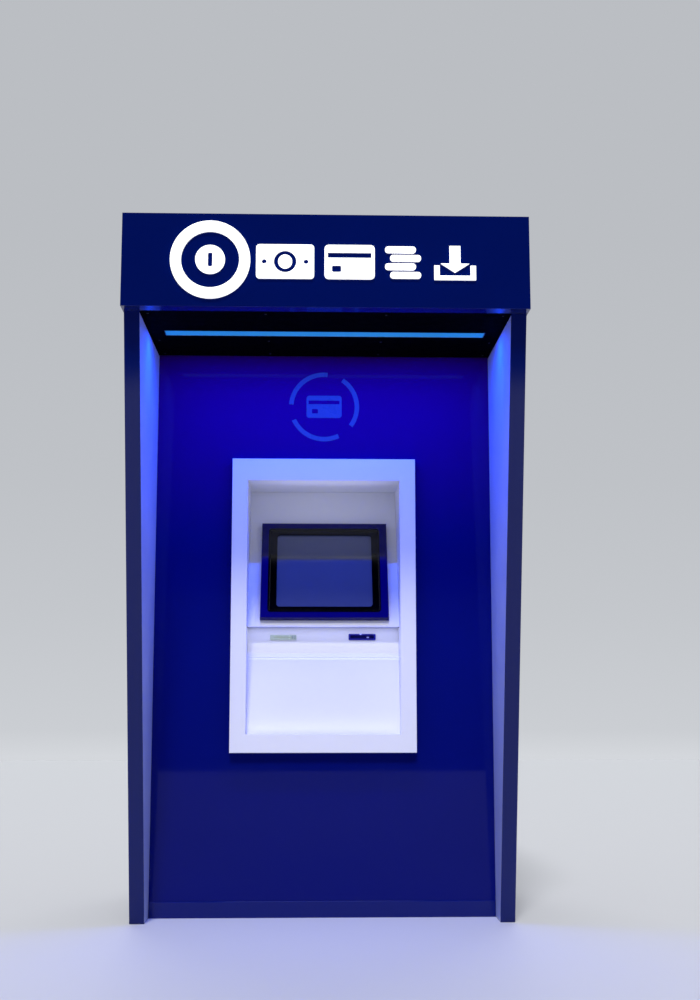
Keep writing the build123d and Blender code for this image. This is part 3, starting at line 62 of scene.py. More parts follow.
# ---------------------------------------------------------------- objects
def put(name, data):
    """New object in the scene."""
    new = bpy.data.objects.new(name, data)
    bpy.context.scene.collection.objects.link(new)
    return new


def ease_edges(target, width, limit):
    """Round the edges of an object that are sharper than a limit, by a width in millimetres."""
    bevel = target.modifiers.new("eased_edges", "BEVEL")
    bevel.width = width * MM
    bevel.segments = 2
    bevel.limit_method = "ANGLE"
    bevel.angle_limit = limit


# ---------------------------------------------------------------- node trees
class Nodes:
    """Short calls that wire the nodes of one tree."""

    def __init__(self, tree):
        self.tree = tree

    def add(self, kind, **settings):
        """New node with its settings."""
        node = self.tree.nodes.new(kind)
        for key, value in settings.items():
            setattr(node, key, value)
        return node

    def link(self, source, target):
        self.tree.links.new(source, target)

    def ramp(self, value, stops):
        """Colour from a value between 0 and 1, by (position, colour) stops."""
        node = self.add("ShaderNodeValToRGB")
        points = node.color_ramp.elements
        while len(points) < len(stops):
            points.new(0.5)
        for point, (position, colour) in zip(points, stops):
            point.position = position
            point.color = colour
        self.link(value, node.inputs["Fac"])
        return node.outputs["Color"]

    def remap(self, value, low, high, source=(0.3, 0.7)):
        """Value taken from a source span to low..high and held there."""
        node = self.add("ShaderNodeMapRange")
        node.inputs["From Min"].default_value = source[0]
        node.inputs["From Max"].default_value = source[1]
        node.inputs["To Min"].default_value = low
        node.inputs["To Max"].default_value = high
        self.link(value, node.inputs["Value"])
        return node.outputs["Result"]

    def graded(self, value, low, high, stops):
        """Colour ramp over a span of a value."""
        return self.ramp(self.remap(value, 0.0, 1.0, (low, high)), stops)

    def axis(self, vector, name):
        """One coordinate of a vector."""
        node = self.add("ShaderNodeSeparateXYZ")
        self.link(vector, node.inputs["Vector"])
        return node.outputs[name]

    def maths(self, operation, first, second):
        """Sum, product or the like of two outputs."""
        node = self.add("ShaderNodeMath", operation=operation)
        self.link(first, node.inputs[0])
        self.link(second, node.inputs[1])
        return node.outputs["Value"]

    def mix(self, factor, first, second, blend="MIX"):
        """Blend of two colours; each input is an output to link or a plain value."""
        node = self.add("ShaderNodeMix", data_type="RGBA", blend_type=blend)
        for name, value in (("Factor", factor), ("A", first), ("B", second)):
            if isinstance(value, bpy.types.NodeSocket):
                self.link(value, node.inputs[name])
            else:
                node.inputs[name].default_value = value
        return node.outputs["Result"]


# ---------------------------------------------------------------- materials
class Finish(Nodes):
    """A Principled material whose detail follows the object's own coordinates."""

    def __init__(self, name, colour, roughness, metallic=0.0, specular=0.5):
        self.material = bpy.data.materials.new(name)
        self.material.use_nodes = True
        super().__init__(self.material.node_tree)
        self.colour = colour
        self.shader = self.tree.nodes["Principled BSDF"]
        self.shader.inputs["Base Color"].default_value = colour
        self.shader.inputs["Roughness"].default_value = roughness
        self.shader.inputs["Metallic"].default_value = metallic
        self.shader.inputs["Specular IOR Level"].default_value = specular
        self.place = self.add("ShaderNodeTexCoord").outputs["Object"]
        self.height = None

    def stretched(self, scale):
        """Object coordinates with a scale for each axis."""
        mapping = self.add("ShaderNodeMapping")
        mapping.inputs["Scale"].default_value = scale
        self.link(self.place, mapping.inputs["Vector"])
        return mapping.outputs["Vector"]

    def noise(self, scale, detail=3.0, stretch=None):
        """Soft noise between about 0.3 and 0.7."""
        texture = self.add("ShaderNodeTexNoise")
        texture.inputs["Scale"].default_value = scale
        texture.inputs["Detail"].default_value = detail
        texture.inputs["Roughness"].default_value = 0.5
        self.link(self.stretched(stretch) if stretch else self.place, texture.inputs["Vector"])
        return texture.outputs["Fac"]

    def drift(self, value, colour, low, high):
        """Colour that runs from a darker to a lighter tone of its own."""
        return self.ramp(value, [(0.3, scaled(colour, low)), (0.7, scaled(colour, high))])

    def mottle(self, spread, scale):
        """Colour that drifts a little over the surface."""
        self.link(self.drift(self.noise(scale), self.colour, 1 - spread, 1 + spread), self.shader.inputs["Base Color"])
        return self

    def gloss(self, low, high, scale):
        """Roughness that drifts between two values."""
        self.link(self.remap(self.noise(scale), low, high), self.shader.inputs["Roughness"])
        return self

    def relief(self, value, depth, strength=1.0):
        """Bump from a height, added to any that is there."""
        bump = self.add("ShaderNodeBump")
        bump.inputs["Distance"].default_value = depth
        bump.inputs["Strength"].default_value = strength
        self.link(value, bump.inputs["Height"])
        if self.height:
            self.link(self.height, bump.inputs["Normal"])
        self.height = bump.outputs["Normal"]
        self.link(self.height, self.shader.inputs["Normal"])
        return self

    def glow(self, colour, strength):
        """Light of its own, in a plain colour or in one that an output gives."""
        if isinstance(colour, bpy.types.NodeSocket):
            self.link(colour, self.shader.inputs["Emission Color"])
        else:
            self.shader.inputs["Emission Color"].default_value = colour
        self.shader.inputs["Emission Strength"].default_value = strength
        return self


def powder_coat(name, colour, low=0.24, high=0.36, specular=0.5):
    """Powder coat: fine orange peel and a slow drift in gloss."""
    finish = Finish(name, colour, low, specular=specular)
    finish.mottle(0.06, 2.2).gloss(low, high, 5.0)
    finish.relief(finish.noise(420.0, 2.0), 0.00012, 0.35)
    return finish.material


def laminate(name, colour):
    """White laminate: soft satin face, faint mottling and fine grain."""
    finish = Finish(name, colour, 0.4, specular=0.4)
    finish.mottle(0.012, 3.0).gloss(0.34, 0.46, 8.0)
    finish.relief(finish.noise(900.0, 2.0), 0.00006, 0.3)
    return finish.material


def acrylic(name, colour, painted_cast_colour, heights, specular):
    """Glossy acrylic with barely wavy reflections; a violet cast of the blue strip's light is painted into its front
    towards the top.
    """
    finish = Finish(name, colour, 0.03, specular=specular)
    finish.mottle(0.03, 1.4).gloss(0.02, 0.05, 3.0)
    # Painted light: the front is mixed by height towards a violet cast that stands in for the blue strip's light on
    # the upper panel.
    rise = finish.remap(finish.axis(finish.place, "Z"), 0.0, 1.0, heights)
    front = finish.remap(finish.axis(finish.add("ShaderNodeTexCoord").outputs["Normal"], "Y"), 0.0, 1.0, (-0.4, -0.9))
    base = finish.shader.inputs["Base Color"]
    finish.link(finish.mix(finish.maths("MULTIPLY", rise, front), base.links[0].from_socket, painted_cast_colour), base)
    finish.relief(finish.noise(2.2, 1.0), 0.0004, 0.12)
    return finish.material


def moulded(name, colour, low=0.38, high=0.5, specular=0.45, grain=1500.0):
    """Moulded plastic with a spark-eroded grain."""
    finish = Finish(name, colour, low, specular=specular)
    finish.mottle(0.05, 9.0).gloss(low, high, 30.0)
    finish.relief(finish.noise(grain, 2.0), 0.00008, 0.4)
    return finish.material


def galvanised(name):
    """Zinc-coated sheet: spangle cells that differ in tone and gloss."""
    finish = Finish(name, linear(158, 161, 166), 0.4, metallic=1.0)
    cells = finish.add("ShaderNodeTexVoronoi", feature="F1")
    cells.inputs["Scale"].default_value = 90.0
    finish.link(finish.place, cells.inputs["Vector"])
    tone = finish.add("ShaderNodeSeparateColor")
    finish.link(cells.outputs["Color"], tone.inputs["Color"])
    finish.link(
        finish.ramp(tone.outputs["Red"], [(0.0, linear(136, 139, 144)), (1.0, linear(182, 185, 190))]),
        finish.shader.inputs["Base Color"],
    )
    finish.link(finish.remap(tone.outputs["Green"], 0.3, 0.5, (0.0, 1.0)), finish.shader.inputs["Roughness"])
    finish.relief(finish.noise(260.0, 2.0), 0.00005, 0.4)
    return finish.material


def ground_steel(name, colour, stretch, low=0.2, high=0.34):
    """Ground or turned steel: fine lines along one axis."""
    finish = Finish(name, colour, low, metallic=1.0)
    lines = finish.noise(60.0, 4.0, stretch=stretch)
    finish.link(finish.drift(lines, colour, 0.86, 1.0), finish.shader.inputs["Base Color"])
    finish.link(finish.remap(lines, low, high), finish.shader.inputs["Roughness"])
    finish.relief(lines, 0.00004, 0.5)
    return finish.material


def hammered(name, colour):
    """Textured enamel as on safes."""
    finish = Finish(name, colour, 0.4, specular=0.5)
    finish.mottle(0.08, 4.0).gloss(0.34, 0.48, 12.0)
    finish.relief(finish.noise(330.0, 3.0), 0.0005, 0.5)
    return finish.material


def rubber(name):
    """Dull black rubber with a rough skin."""
    finish = Finish(name, linear(26, 26, 27), 0.75, specular=0.3)
    finish.mottle(0.2, 40.0).gloss(0.65, 0.85, 60.0)
    finish.relief(finish.noise(700.0, 2.0), 0.0001, 0.5)
    return finish.material


def opal(name, colour, strength):
    """Opal strip lit from behind, with a faint unevenness along it."""
    finish = Finish(name, linear(30, 70, 120), 0.45)
    finish.glow(finish.drift(finish.noise(14.0, 2.0, stretch=(1.0, 0.1, 0.1)), colour, 0.95, 1.04), strength)
    finish.relief(finish.noise(800.0, 2.0), 0.00005, 0.3)
    return finish.material


def lit_acrylic(name, colour, strength):
    """White acrylic of a lit sign."""
    finish = Finish(name, linear(244, 245, 247), 0.3)
    finish.glow(finish.drift(finish.noise(30.0, 2.0), colour, 0.97, 1.0), strength)
    finish.gloss(0.25, 0.38, 12.0).relief(finish.noise(500.0, 2.0), 0.00004, 0.25)
    return finish.material


def touch_glass(name):
    """Screen that is off behind a reflective touch glass, with faint smears."""
    finish = Finish(name, linear(68, 77, 106), 0.08, specular=0.65)
    finish.mottle(0.04, 6.0).gloss(0.04, 0.12, 9.0)
    finish.relief(finish.noise(1.5, 1.0), 0.0002, 0.1)
    return finish.material


NAVY = linear(1, 18, 93)
PANEL_BLUE = (0.001, 0.004, 0.135, 1.0)
# Painted light: violet cast of the blue strip's light, painted into the upper front of the back panel.
PANEL_PAINTED_CAST = (0.027, 0.0, 0.132, 1.0)
WHITE = linear(236, 237, 242)
LED_BLUE = linear(32, 122, 186)

finishes = {
    "navy": powder_coat("navy_coat", NAVY, 0.03, 0.05, specular=0.35),
    "navy_header": powder_coat("navy_header_coat", NAVY, 0.06, 0.12, specular=0.25),
    "panel_blue": acrylic("blue_acrylic", PANEL_BLUE, PANEL_PAINTED_CAST, (1.28, 1.78), 0.14),
    "white_liner": laminate("lavender_laminate", linear(182, 190, 221)),
    "fascia_white": laminate("fascia_white", WHITE),
    "soffit_black": moulded("black_facing", linear(1, 1, 1), 0.7, 0.85, specular=0.01),
    "aluminium": ground_steel("satin_aluminium", linear(196, 198, 202), (1.0, 40.0, 40.0)),
    "light_opal": opal("led_opal", LED_BLUE, 1.0),
    "sign_white": lit_acrylic("sign_white", (1.0, 1.0, 0.985, 1.0), 1.0),
    "steel_grey": powder_coat("grey_coat", linear(150, 155, 162), 0.38, 0.5),
    "safe_grey": hammered("safe_enamel", linear(118, 124, 132)),
    "zinc": galvanised("zinc_sheet"),
    "steel": ground_steel("ground_steel", linear(190, 191, 194), (1.0, 1.0, 30.0)),
    "bezel_navy": moulded("navy_moulding", linear(6, 3, 90), 0.05, 0.09, specular=0.24, grain=700.0),
    "bezel_black": moulded("black_moulding", linear(1, 1, 3), 0.05, 0.09, specular=0.3, grain=700.0),
    "screen": touch_glass("touch_glass"),
    "plastic_black": moulded("black_plastic", linear(28, 29, 31)),
    "plastic_grey": moulded("grey_case", linear(168, 171, 176)),
    "slot_green": moulded("green_moulding", linear(132, 150, 146), 0.3, 0.4),
    "rubber": rubber("roller_rubber"),
    "cassette_grey": moulded("cassette_moulding", linear(92, 97, 105)),
    "chrome": ground_steel("bright_chrome", linear(214, 215, 219), (20.0, 1.0, 20.0), 0.06, 0.14),
}


def refinish(node, material):
    """Give every face of one node a finish."""
    for holder in nodes[node].material_slots:
        holder.material = material


for row in frame["record"]["subparts"]:
    refinish(row["node"], finishes[row["material_slot"]])

# Nodes that look unlike the rest of their slot; the card slot and its gate glow, a painted light that lightens their
# shaded face and mouth.
slot_glow_shader = finishes["slot_green"].node_tree.nodes["Principled BSDF"]
slot_glow_shader.inputs["Emission Color"].default_value = linear(122, 129, 128)
slot_glow_shader.inputs["Emission Strength"].default_value = 1.0
# Painted light: the gate glows to lighten the shaded mouth of the card slot.
gate = Finish("gate_painted_glow", linear(170, 190, 186), 0.35, metallic=0.3)
gate.mottle(0.05, 60.0).gloss(0.3, 0.42, 60.0).glow(linear(122, 142, 142), 0.9)
gate.relief(gate.noise(600.0), 0.00004, 0.3)
refinish("card_gate", gate.material)
refinish("note_shutter", moulded("blued_shutter", linear(34, 38, 140), 0.35, 0.5, specular=0.2))
refinish("note_slot_bezel", moulded("slot_navy", linear(28, 32, 146), 0.35, 0.5, specular=0.15))
refinish("lower_panel", laminate("apron_white", linear(228, 229, 240)))
refinish("kick_plate", powder_coat("kick_coat", linear(1, 16, 100), 0.05, 0.12, specular=0.3))


# ---------------------------------------------------------------- edges of the CAD sheets
EASED = {
    "right_side_shell": 1.2, "left_side_shell": 1.2, "header_shell": 0.8, "roof_panel": 0.8, "upper_cabinet": 0.5,
    "service_door": 0.5, "safe_body": 1.0, "console_panel": 0.6, "lower_panel": 0.8, "monitor_wall": 0.6,
    "kick_plate": 0.6, "base_side_rails": 1.2, "base_cross_rails": 1.2, "module_shelf": 0.5, "soffit_panel": 0.5,
    "niche_liner": 0.6, "power_inlet": 0.8,
}
for node, width in EASED.items():
    ease_edges(nodes[node], width, math.radians(40))


# ---------------------------------------------------------------- flat signs
def rectangle(x, z, width, height, radius=0.0, steps=5):
    """Loop of a rectangle about (x, z), with round corners where radius is given."""
    if radius <= 0:
        return [(x + sx * width / 2, z + sz * height / 2) for sx, sz in ((-1, -1), (1, -1), (1, 1), (-1, 1))]
    loop = []
    for quarter, (sx, sz) in enumerate(((1, 1), (-1, 1), (-1, -1), (1, -1))):
        middle = (x + sx * (width / 2 - radius), z + sz * (height / 2 - radius))
        for step in range(steps + 1):
            angle = math.pi / 2 * (quarter + step / steps)
            loop.append((middle[0] + radius * math.cos(angle), middle[1] + radius * math.sin(angle)))
    return loop


def ellipse(x, z, width, height, steps=48):
    """Loop of an ellipse, from its two radii."""
    return [(x + width * math.cos(math.tau * i / steps), z + height * math.sin(math.tau * i / steps))
            for i in range(steps)]


def disc(x, z, radius, steps=48):
    """Loop of a circle."""
    return ellipse(x, z, radius, radius, steps)


def arc_band(x, z, inner, outer, start, end, steps=40):
    """Loop of a ring sector between two angles in degrees."""
    angles = [math.radians(start + (end - start) * i / steps) for i in range(steps + 1)]
    loop = [(x + outer * math.cos(a), z + outer * math.sin(a)) for a in angles]
    return loop + [(x + inner * math.cos(a), z + inner * math.sin(a)) for a in reversed(angles)]


def banknote(x, z, width, height):
    """Banknote: a plate with a ring round its middle and a dot at each side cut out."""
    loops = [rectangle(x, z, width, height, height * 0.1)]
    loops += [disc(x, z, height * 0.32), disc(x, z, height * 0.2)]
    loops += [disc(x + side * width * 0.36, z, height * 0.07, 24) for side in (-1, 1)]
    return loops


def payment_card(x, z, width, height):
    """Card: a plate with a stripe and a chip cut out."""
    stripe = rectangle(x, z + height * 0.2, width + 0.001 - height * 0.2, height * 0.16)
    chip = rectangle(x - width * 0.26, z - height * 0.2, height * 0.26, height * 0.2, height * 0.04)
    return [rectangle(x, z, width, height, height * 0.12), stripe, chip]


def coin_stack(x, z, width, height, count=4):
    """Coins on edge: a pile of round-ended bars, each set off to the other side."""
    pitch = height / count
    low = z - height / 2
    return [
        rectangle(x + width * 0.07 * (-1) ** level, low + pitch * (level + 0.5),
                  width * 0.86, pitch * 0.76, pitch * 0.36)
        for level in range(count)
    ]


def arrow_to_tray(x, z, width, height):
    """Arrow that points down into a tray."""
    top = z + height / 2
    low = z - height / 2
    shaft = width * 0.13
    head = width * 0.34
    neck = z - height * 0.02
    tip = low + height * 0.22
    arrow = [(x - shaft, top), (x - shaft, neck), (x - head, neck), (x, tip), (x + head, neck), (x + shaft, neck),
             (x + shaft, top)]
    wall = width * 0.13
    left = x - width / 2
    right = x + width / 2
    lip = low + height * 0.42
    floor = low + wall * 0.8
    tray = [(left, lip), (left, low), (right, low), (right, lip),
            (right - wall, lip), (right - wall, floor), (left + wall, floor), (left + wall, lip)]
    return [arrow, tray]


def curve_mesh(name, curve):
    """Mesh of a filled curve or a text."""
    holder = put(name + "_curve", curve)
    bpy.context.view_layer.update()
    mesh = bpy.data.meshes.new_from_object(holder.evaluated_get(bpy.context.evaluated_depsgraph_get()))
    bpy.data.objects.remove(holder)
    return mesh


def upright_plate(name, loops, face_y, thickness, ease, finish, body="housing"):
    """Flat plate in the XZ plane from closed loops (metres); its front is at face_y - thickness."""
    curve = bpy.data.curves.new(name + "_outline", "CURVE")
    curve.dimensions = "2D"
    curve.fill_mode = "BOTH"
    curve.extrude = thickness / 2 - ease
    curve.bevel_depth = ease
    curve.bevel_resolution = 1
    curve.offset = -ease
    for loop in loops:
        spline = curve.splines.new("POLY")
        spline.points.add(len(loop) - 1)
        for point, (x, z) in zip(spline.points, loop):
            point.co = (x, z, 0.0, 1.0)
        spline.use_cyclic_u = True
    mesh = curve_mesh(name, curve)
    mesh.transform(Matrix.Translation((0, face_y - thickness / 2, 0)) @ Matrix.Rotation(math.pi / 2, 4, "X"))
    mesh.name = name
    mesh.materials.clear()
    mesh.materials.append(finish)
    plate = put(name, mesh)
    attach(plate, body)
    return plate


# Lit signs: a coin in the raised ring and four pictures beside it, each with its middle and width in millimetres.
ring_low, ring_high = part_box("emblem_ring")
emblem = (ring_low + ring_high) / 2
header_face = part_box("header_shell")[0].y
SIGN_HEIGHT = 109 * MM
sign_z = emblem.z - 4.5 * MM


def lit_sign(name, loops):
    """White sign on the header's face."""
    upright_plate(name, loops, header_face, 8 * MM, 0.8 * MM, finishes["sign_white"])


lit_sign("emblem_coin", [disc(emblem.x, emblem.z, 46 * MM),
                         rectangle(emblem.x, emblem.z, 14 * MM, 46 * MM, 5 * MM)])
for label, draw, x, width in (
    ("sign_banknote", banknote, -128, 180), ("sign_card", payment_card, 72, 156),
    ("sign_coins", coin_stack, 238, 112), ("sign_withdraw", arrow_to_tray, 400, 130),
):
    lit_sign(label, draw(x * MM, sign_z, width * MM, SIGN_HEIGHT))

# Vinyl decal on the back panel: a ring of three arcs round a card.
vinyl = Finish("blue_vinyl", linear(57, 80, 134), 0.3, specular=0.2)
vinyl.mottle(0.04, 5.0).gloss(0.24, 0.36, 20.0).relief(vinyl.noise(60.0), 0.00004, 0.2)
panel_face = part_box("back_panel")[0].y
DECAL_Z = 1746 * MM
ARC_SPAN = 92
decal = [arc_band(0, DECAL_Z, 108 * MM, 124 * MM, start, start + ARC_SPAN) for start in (-36, 84, 204)]
decal += payment_card(0, DECAL_Z, 124 * MM, 80 * MM)
upright_plate("panel_decal", decal, panel_face, 0.6 * MM, 0.1 * MM, vinyl.material)


# ---------------------------------------------------------------- solid details
IDENTITY = Matrix.Identity(4)
AXES = {"+x": (1, 0, 0), "-x": (-1, 0, 0), "+y": (0, 1, 0), "-y": (0, -1, 0), "+z": (0, 0, 1), "-z": (0, 0, -1)}


def facing(centre, axis):
    """Matrix that stands local Z on an axis at a centre."""
    turn = Vector((0, 0, 1)).rotation_difference(Vector(AXES[axis])).to_matrix().to_4x4()
    return Matrix.Translation(centre) @ turn


def plane(origin, along_x, along_y):
    """Matrix of a plane from its origin and two directions; local Z is its normal."""
    x_axis = Vector(along_x).normalized()
    y_axis = Vector(along_y).normalized()
    turn = Matrix((x_axis, y_axis, x_axis.cross(y_axis))).transposed().to_4x4()
    return Matrix.Translation(origin) @ turn


def rear_plane(origin):
    """Upright plane that faces the rear; local X points to the left side."""
    return plane(origin, (-1, 0, 0), (0, 0, 1))


class Piece:
    """Mesh gathered from turned, extruded and boxed shapes, with lengths in millimetres."""

    def __init__(self, place=IDENTITY):
        self.mesh = bmesh.new()
        self.place = place

    def skin(self, rings, place, closed=False):
        """Faces between rings of points; a ring of one point closes the end."""
        matrix = self.place @ place
        rows = [[self.mesh.verts.new(matrix @ Vector(point)) for point in ring] for ring in rings]
        pairs = list(zip(rows, rows[1:])) + ([(rows[-1], rows[0])] if closed else [])
        for low, high in pairs:
            count = max(len(low), len(high))
            for i in range(count):
                j = (i + 1) % count
                corners = [low[0]] if len(low) == 1 else [low[i], low[j]]
                corners += [high[0]] if len(high) == 1 else [high[j], high[i]]
                self.mesh.faces.new(corners)
        if not closed:
            for row in (rows[0], rows[-1]):
                if len(row) > 2:
                    self.mesh.faces.new(row)
        return self

    def turned(self, profile, centre, axis="+y", size=1.0, steps=24, closed=False):
        """Solid of revolution from (radius, height) or (radius, height, sides of a polygon)."""
        rings = []
        for radius, height, *sides in profile:
            if radius == 0:
                rings.append([(0, 0, height * size)])
                continue
            ring = []
            for step in range(steps):
                angle = math.tau * step / steps
                reach = radius * size
                if sides:
                    sector = math.tau / sides[0]
                    reach *= math.cos(sector / 2) / math.cos(angle % sector - sector / 2)
                ring.append((reach * math.cos(angle), reach * math.sin(angle), height * size))
            rings.append(ring)
        return self.skin(rings, facing(centre, axis), closed)

    def ring(self, radius, wire, centre, axis="+y", steps=48):
        """Round wire bent to a circle."""
        profile = [(radius + wire * math.cos(math.tau * i / 8), wire * math.sin(math.tau * i / 8)) for i in range(8)]
        return self.turned(profile, centre, axis, 1.0, steps, closed=True)

    def prism(self, loop, low, high, place=IDENTITY):
        """Loop of local (x, y) points between two local heights."""
        return self.skin([[(x, y, low) for x, y in loop], [(x, y, high) for x, y in loop]], place)

    @staticmethod
    def corners(low, high, wall=0):
        """Corners of a rectangle in local X and Y, drawn in by a wall."""
        return [(low[0] + wall, low[1] + wall), (high[0] - wall, low[1] + wall),
                (high[0] - wall, high[1] - wall), (low[0] + wall, high[1] - wall)]

    def block(self, low, high, place=IDENTITY):
        """Box between two local corners."""
        return self.prism(self.corners(low, high), low[2], high[2], place)

    def frame(self, low, high, wall, place=IDENTITY):
        """Block with a rectangular hole along local Z."""
        outer = self.corners(low, high)
        inner = self.corners(low, high, wall)
        rings = [[(x, y, z) for x, y in loop] for loop, z in
                 ((outer, low[2]), (outer, high[2]), (inner, high[2]), (inner, low[2]))]
        return self.skin(rings, place, closed=True)

    def add(self, name, finish, slot, body="housing", ease=0.0):
        """Put the piece in the scene and let it ride its body."""
        bmesh.ops.recalc_face_normals(self.mesh, faces=self.mesh.faces)
        for face in self.mesh.faces:
            face.smooth = True
        for edge in self.mesh.edges:
            if len(edge.link_faces) == 2:
                edge.smooth = edge.calc_face_angle() < SMOOTH_LIMIT
        data = bpy.data.meshes.new(name)
        self.mesh.to_mesh(data)
        self.mesh.free()
        data.transform(Matrix.Scale(MM, 4))
        data.materials.append(finish)
        piece = put(name, data)
        if ease:
            ease_edges(piece, ease, SMOOTH_LIMIT)
        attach(piece, body)
        return piece


SMOOTH_LIMIT = math.radians(36)
PAN_HEAD = [(1.0, 0), (1.0, 0.22), (0.88, 0.5), (0.66, 0.66), (0.5, 0.7), (0.46, 0.7, 6), (0.43, 0.25, 6), (0, 0.2)]
HEX_BOLT = [(1.9, 0), (1.9, 0.2), (1.15, 0.2, 6), (1.15, 0.85, 6), (1.0, 1.0), (0, 1.0)]

plated = Finish("plated_screw", linear(176, 178, 182), 0.28, metallic=1.0)
plated.mottle(0.12, 120.0).gloss(0.22, 0.4, 90.0).relief(plated.noise(900.0), 0.00003, 0.3)
blackened = Finish("blackened_screw", linear(20, 20, 22), 0.4, specular=0.4)
blackened.mottle(0.3, 120.0).gloss(0.35, 0.55, 90.0).relief(blackened.noise(900.0), 0.00003, 0.3)


def screws(name, places, axis, radius, body="housing", finish=None, head=PAN_HEAD, slot="zinc"):
    """Group of like screws that stand on one face."""
    piece = Piece()
    for centre in places:
        piece.turned(head, centre, axis, radius)
    return piece.add(name, finish or plated.material, slot, body)


def corners_mm(node):
    """Low and high corner of a node's box in millimetres."""
    low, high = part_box(node)
    return low / MM, high / MM


def crossed_guard(name, x, z, axis, rings, bars, ease, body="housing"):
    """Finger guard: rings (height, wire, radii) under two bars (height, reach, thickness, turns)."""
    ring_y, wire, radii = rings
    bar_y, reach, thickness, turns = bars
    guard = Piece()
    for radius in radii:
        guard.ring(radius, wire, (x, ring_y, z), axis)
    for turn in turns:
        bar = facing((x, bar_y, z), axis) @ Matrix.Rotation(math.radians(turn), 4, "Z")
        guard.block((-reach, -wire, 0), (reach, wire, thickness), bar)
    guard.add(name, plated.material, "zinc", body, ease=ease)


# Service door: leaf screws, louvre hoods and the key slot of the latch.
door_low = corners_mm("service_door")[0]
hinge_low, hinge_high = corners_mm("service_hinges")
fan_low, fan_high = corners_mm("fan_frame")
latch_low, latch_high = corners_mm("door_latch")
DOOR_SHEET = 2.0
LEAF_SHEET = 2.0
LEAF_RISES = (4, 24)
HINGE_HEIGHT = 35.9
door_face = fan_high.y + DOOR_SHEET
hinge_pitch = (hinge_high.z - hinge_low.z - HINGE_HEIGHT) / 2
leaf_feet = [hinge_low.z + 4 + step * hinge_pitch for step in range(3)]
screws("door_leaf_screws", [(x, door_face + LEAF_SHEET, foot + rise) for foot in leaf_feet for x in (262, 282)
                            for rise in LEAF_RISES], "+y", 3.4, "service_door")
screws("cabinet_leaf_screws", [(302, y, foot + rise) for foot in leaf_feet for y in (524, 550)
                               for rise in LEAF_RISES], "+x", 3.4)

HOOD_OUTER = [(0, 6.5), (3.2, 5.8), (5.8, 3.6), (7.2, 0.4), (7.6, -3.6)]
HOOD_INNER = [(6.6, -3.6), (6.2, 0.2), (5.0, 2.9), (2.8, 4.7), (0, 5.4)]
HOOD_HALF = 88
HOOD_FOOT = 90
HOOD_PITCH = 20
hoods = Piece()
for column in (-150, 130):
    for row in range(7):
        level = plane((column, door_face, door_low.z + HOOD_FOOT + HOOD_PITCH * row), (0, 1, 0), (0, 0, 1))
        hoods.prism(HOOD_OUTER + HOOD_INNER, -HOOD_HALF, HOOD_HALF, level)
        for end in (-HOOD_HALF, HOOD_HALF - 1):
            hoods.prism(HOOD_OUTER + [(0, -3.6)], end, end + 1, level)
hoods.add("louvre_hoods", finishes["steel_grey"], "steel_grey", "service_door", ease=0.2)

LATCH_DROP = 31
latch_x = (latch_low.x + latch_high.x) / 2
latch_z = latch_high.z - LATCH_DROP
Piece().turned([(6, 0), (6, 0.8), (5.2, 1.4), (3.4, 1.4), (3.2, 0.9), (0, 0.9)], (latch_x, latch_high.y, latch_z)).add(
    "latch_cylinder", plated.material, "steel", "door_latch")
BOW = 1.2
bow_turns = [math.tau * (i + 2) / 16 for i in range(13)]
keyhole = [(BOW * math.sin(turn), BOW + BOW * math.cos(turn)) for turn in bow_turns] + [(-0.6, -2.4), (0.6, -2.4)]
Piece(rear_plane((latch_x, latch_high.y, latch_z))).prism(keyhole, 0.0, 1.1).add(
    "latch_key_slot", blackened.material, "plastic_black", "door_latch", ease=0.1)

# Fan: finger guard and its screws on the inner side.
fan_x = (fan_low.x + fan_high.x) / 2
fan_z = (fan_low.z + fan_high.z) / 2
crossed_guard("fan_guard", fan_x, fan_z, "-y", (fan_low.y - 1, 0.9, (14, 26, 38, 50)),
              (fan_low.y - 1.4, 72, 1.6, (45, 135)), 0.3, "service_door")
FAN_HOLE = 52
screws("fan_screws", [(fan_x + dx, fan_low.y, fan_z + dz) for dx in (-FAN_HOLE, FAN_HOLE)
                      for dz in (-FAN_HOLE, FAN_HOLE)], "-y", 3.6, "service_door")

# Screws of the surround, its roof, the header's rear and the base.
ROOF_SHEET = 3.0
roof_z = corners_mm("roof_panel")[1].z - ROOF_SHEET
screws("roof_screws", [(x, y, roof_z) for x in (-616, -300, 0, 300, 616) for y in (172, 616)], "+z", 4.5)
header_rear = corners_mm("header_shell")[1].y
screws("header_rear_screws", [(x, header_rear, z) for x in (-612, -306, 0, 306, 612) for z in (1958, 2204)], "+y", 4.2,
       slot="navy_header", finish=blackened.material)
soffit_z = corners_mm("soffit_panel")[0].z
screws("soffit_screws", [(x, y, soffit_z) for x in (-560, -190, 190, 560) for y in (-545, -215, -40)], "-z", 3.5,
       slot="soffit_black", finish=blackened.material)
ANGLE_ROWS = range(190, 1870, 280)
for name, x, axis in (("angle_screws", -580, "+x"), ("angle_screws_right", 580, "-x")):
    screws(name, [(x, 24, z) for z in ANGLE_ROWS], axis, 4.5, head=HEX_BOLT)
screws("panel_screws", [(x, 5.5, z + 70) for x in (-564, 564) for z in ANGLE_ROWS], "+y", 4.0)
rail_rear = corners_mm("base_cross_rails")[1].y
screws("base_rail_screws", [(x, rail_rear, 37) for x in (-500, -420, 420, 500)], "+y", 4.0)

# Mains inlet: three flat pins in the recess and two screws.
inlet_low, inlet_high = corners_mm("power_inlet")
inlet_x = (inlet_low.x + inlet_high.x) / 2
inlet_z = (inlet_low.z + inlet_high.z) / 2
pins = Piece()
for dx, dz in ((0, 4), (-7, -3), (7, -3)):
    pins.block((inlet_x + dx - 1, inlet_high.y - 18, inlet_z + dz - 2.2),
               (inlet_x + dx + 1, inlet_high.y - 4, inlet_z + dz + 2.2))
pins.add("inlet_pins", plated.material, "steel", ease=0.4)
screws("inlet_screws", [(inlet_x + side * 22, inlet_high.y, inlet_z) for side in (-1, 1)], "+y", 3.0)

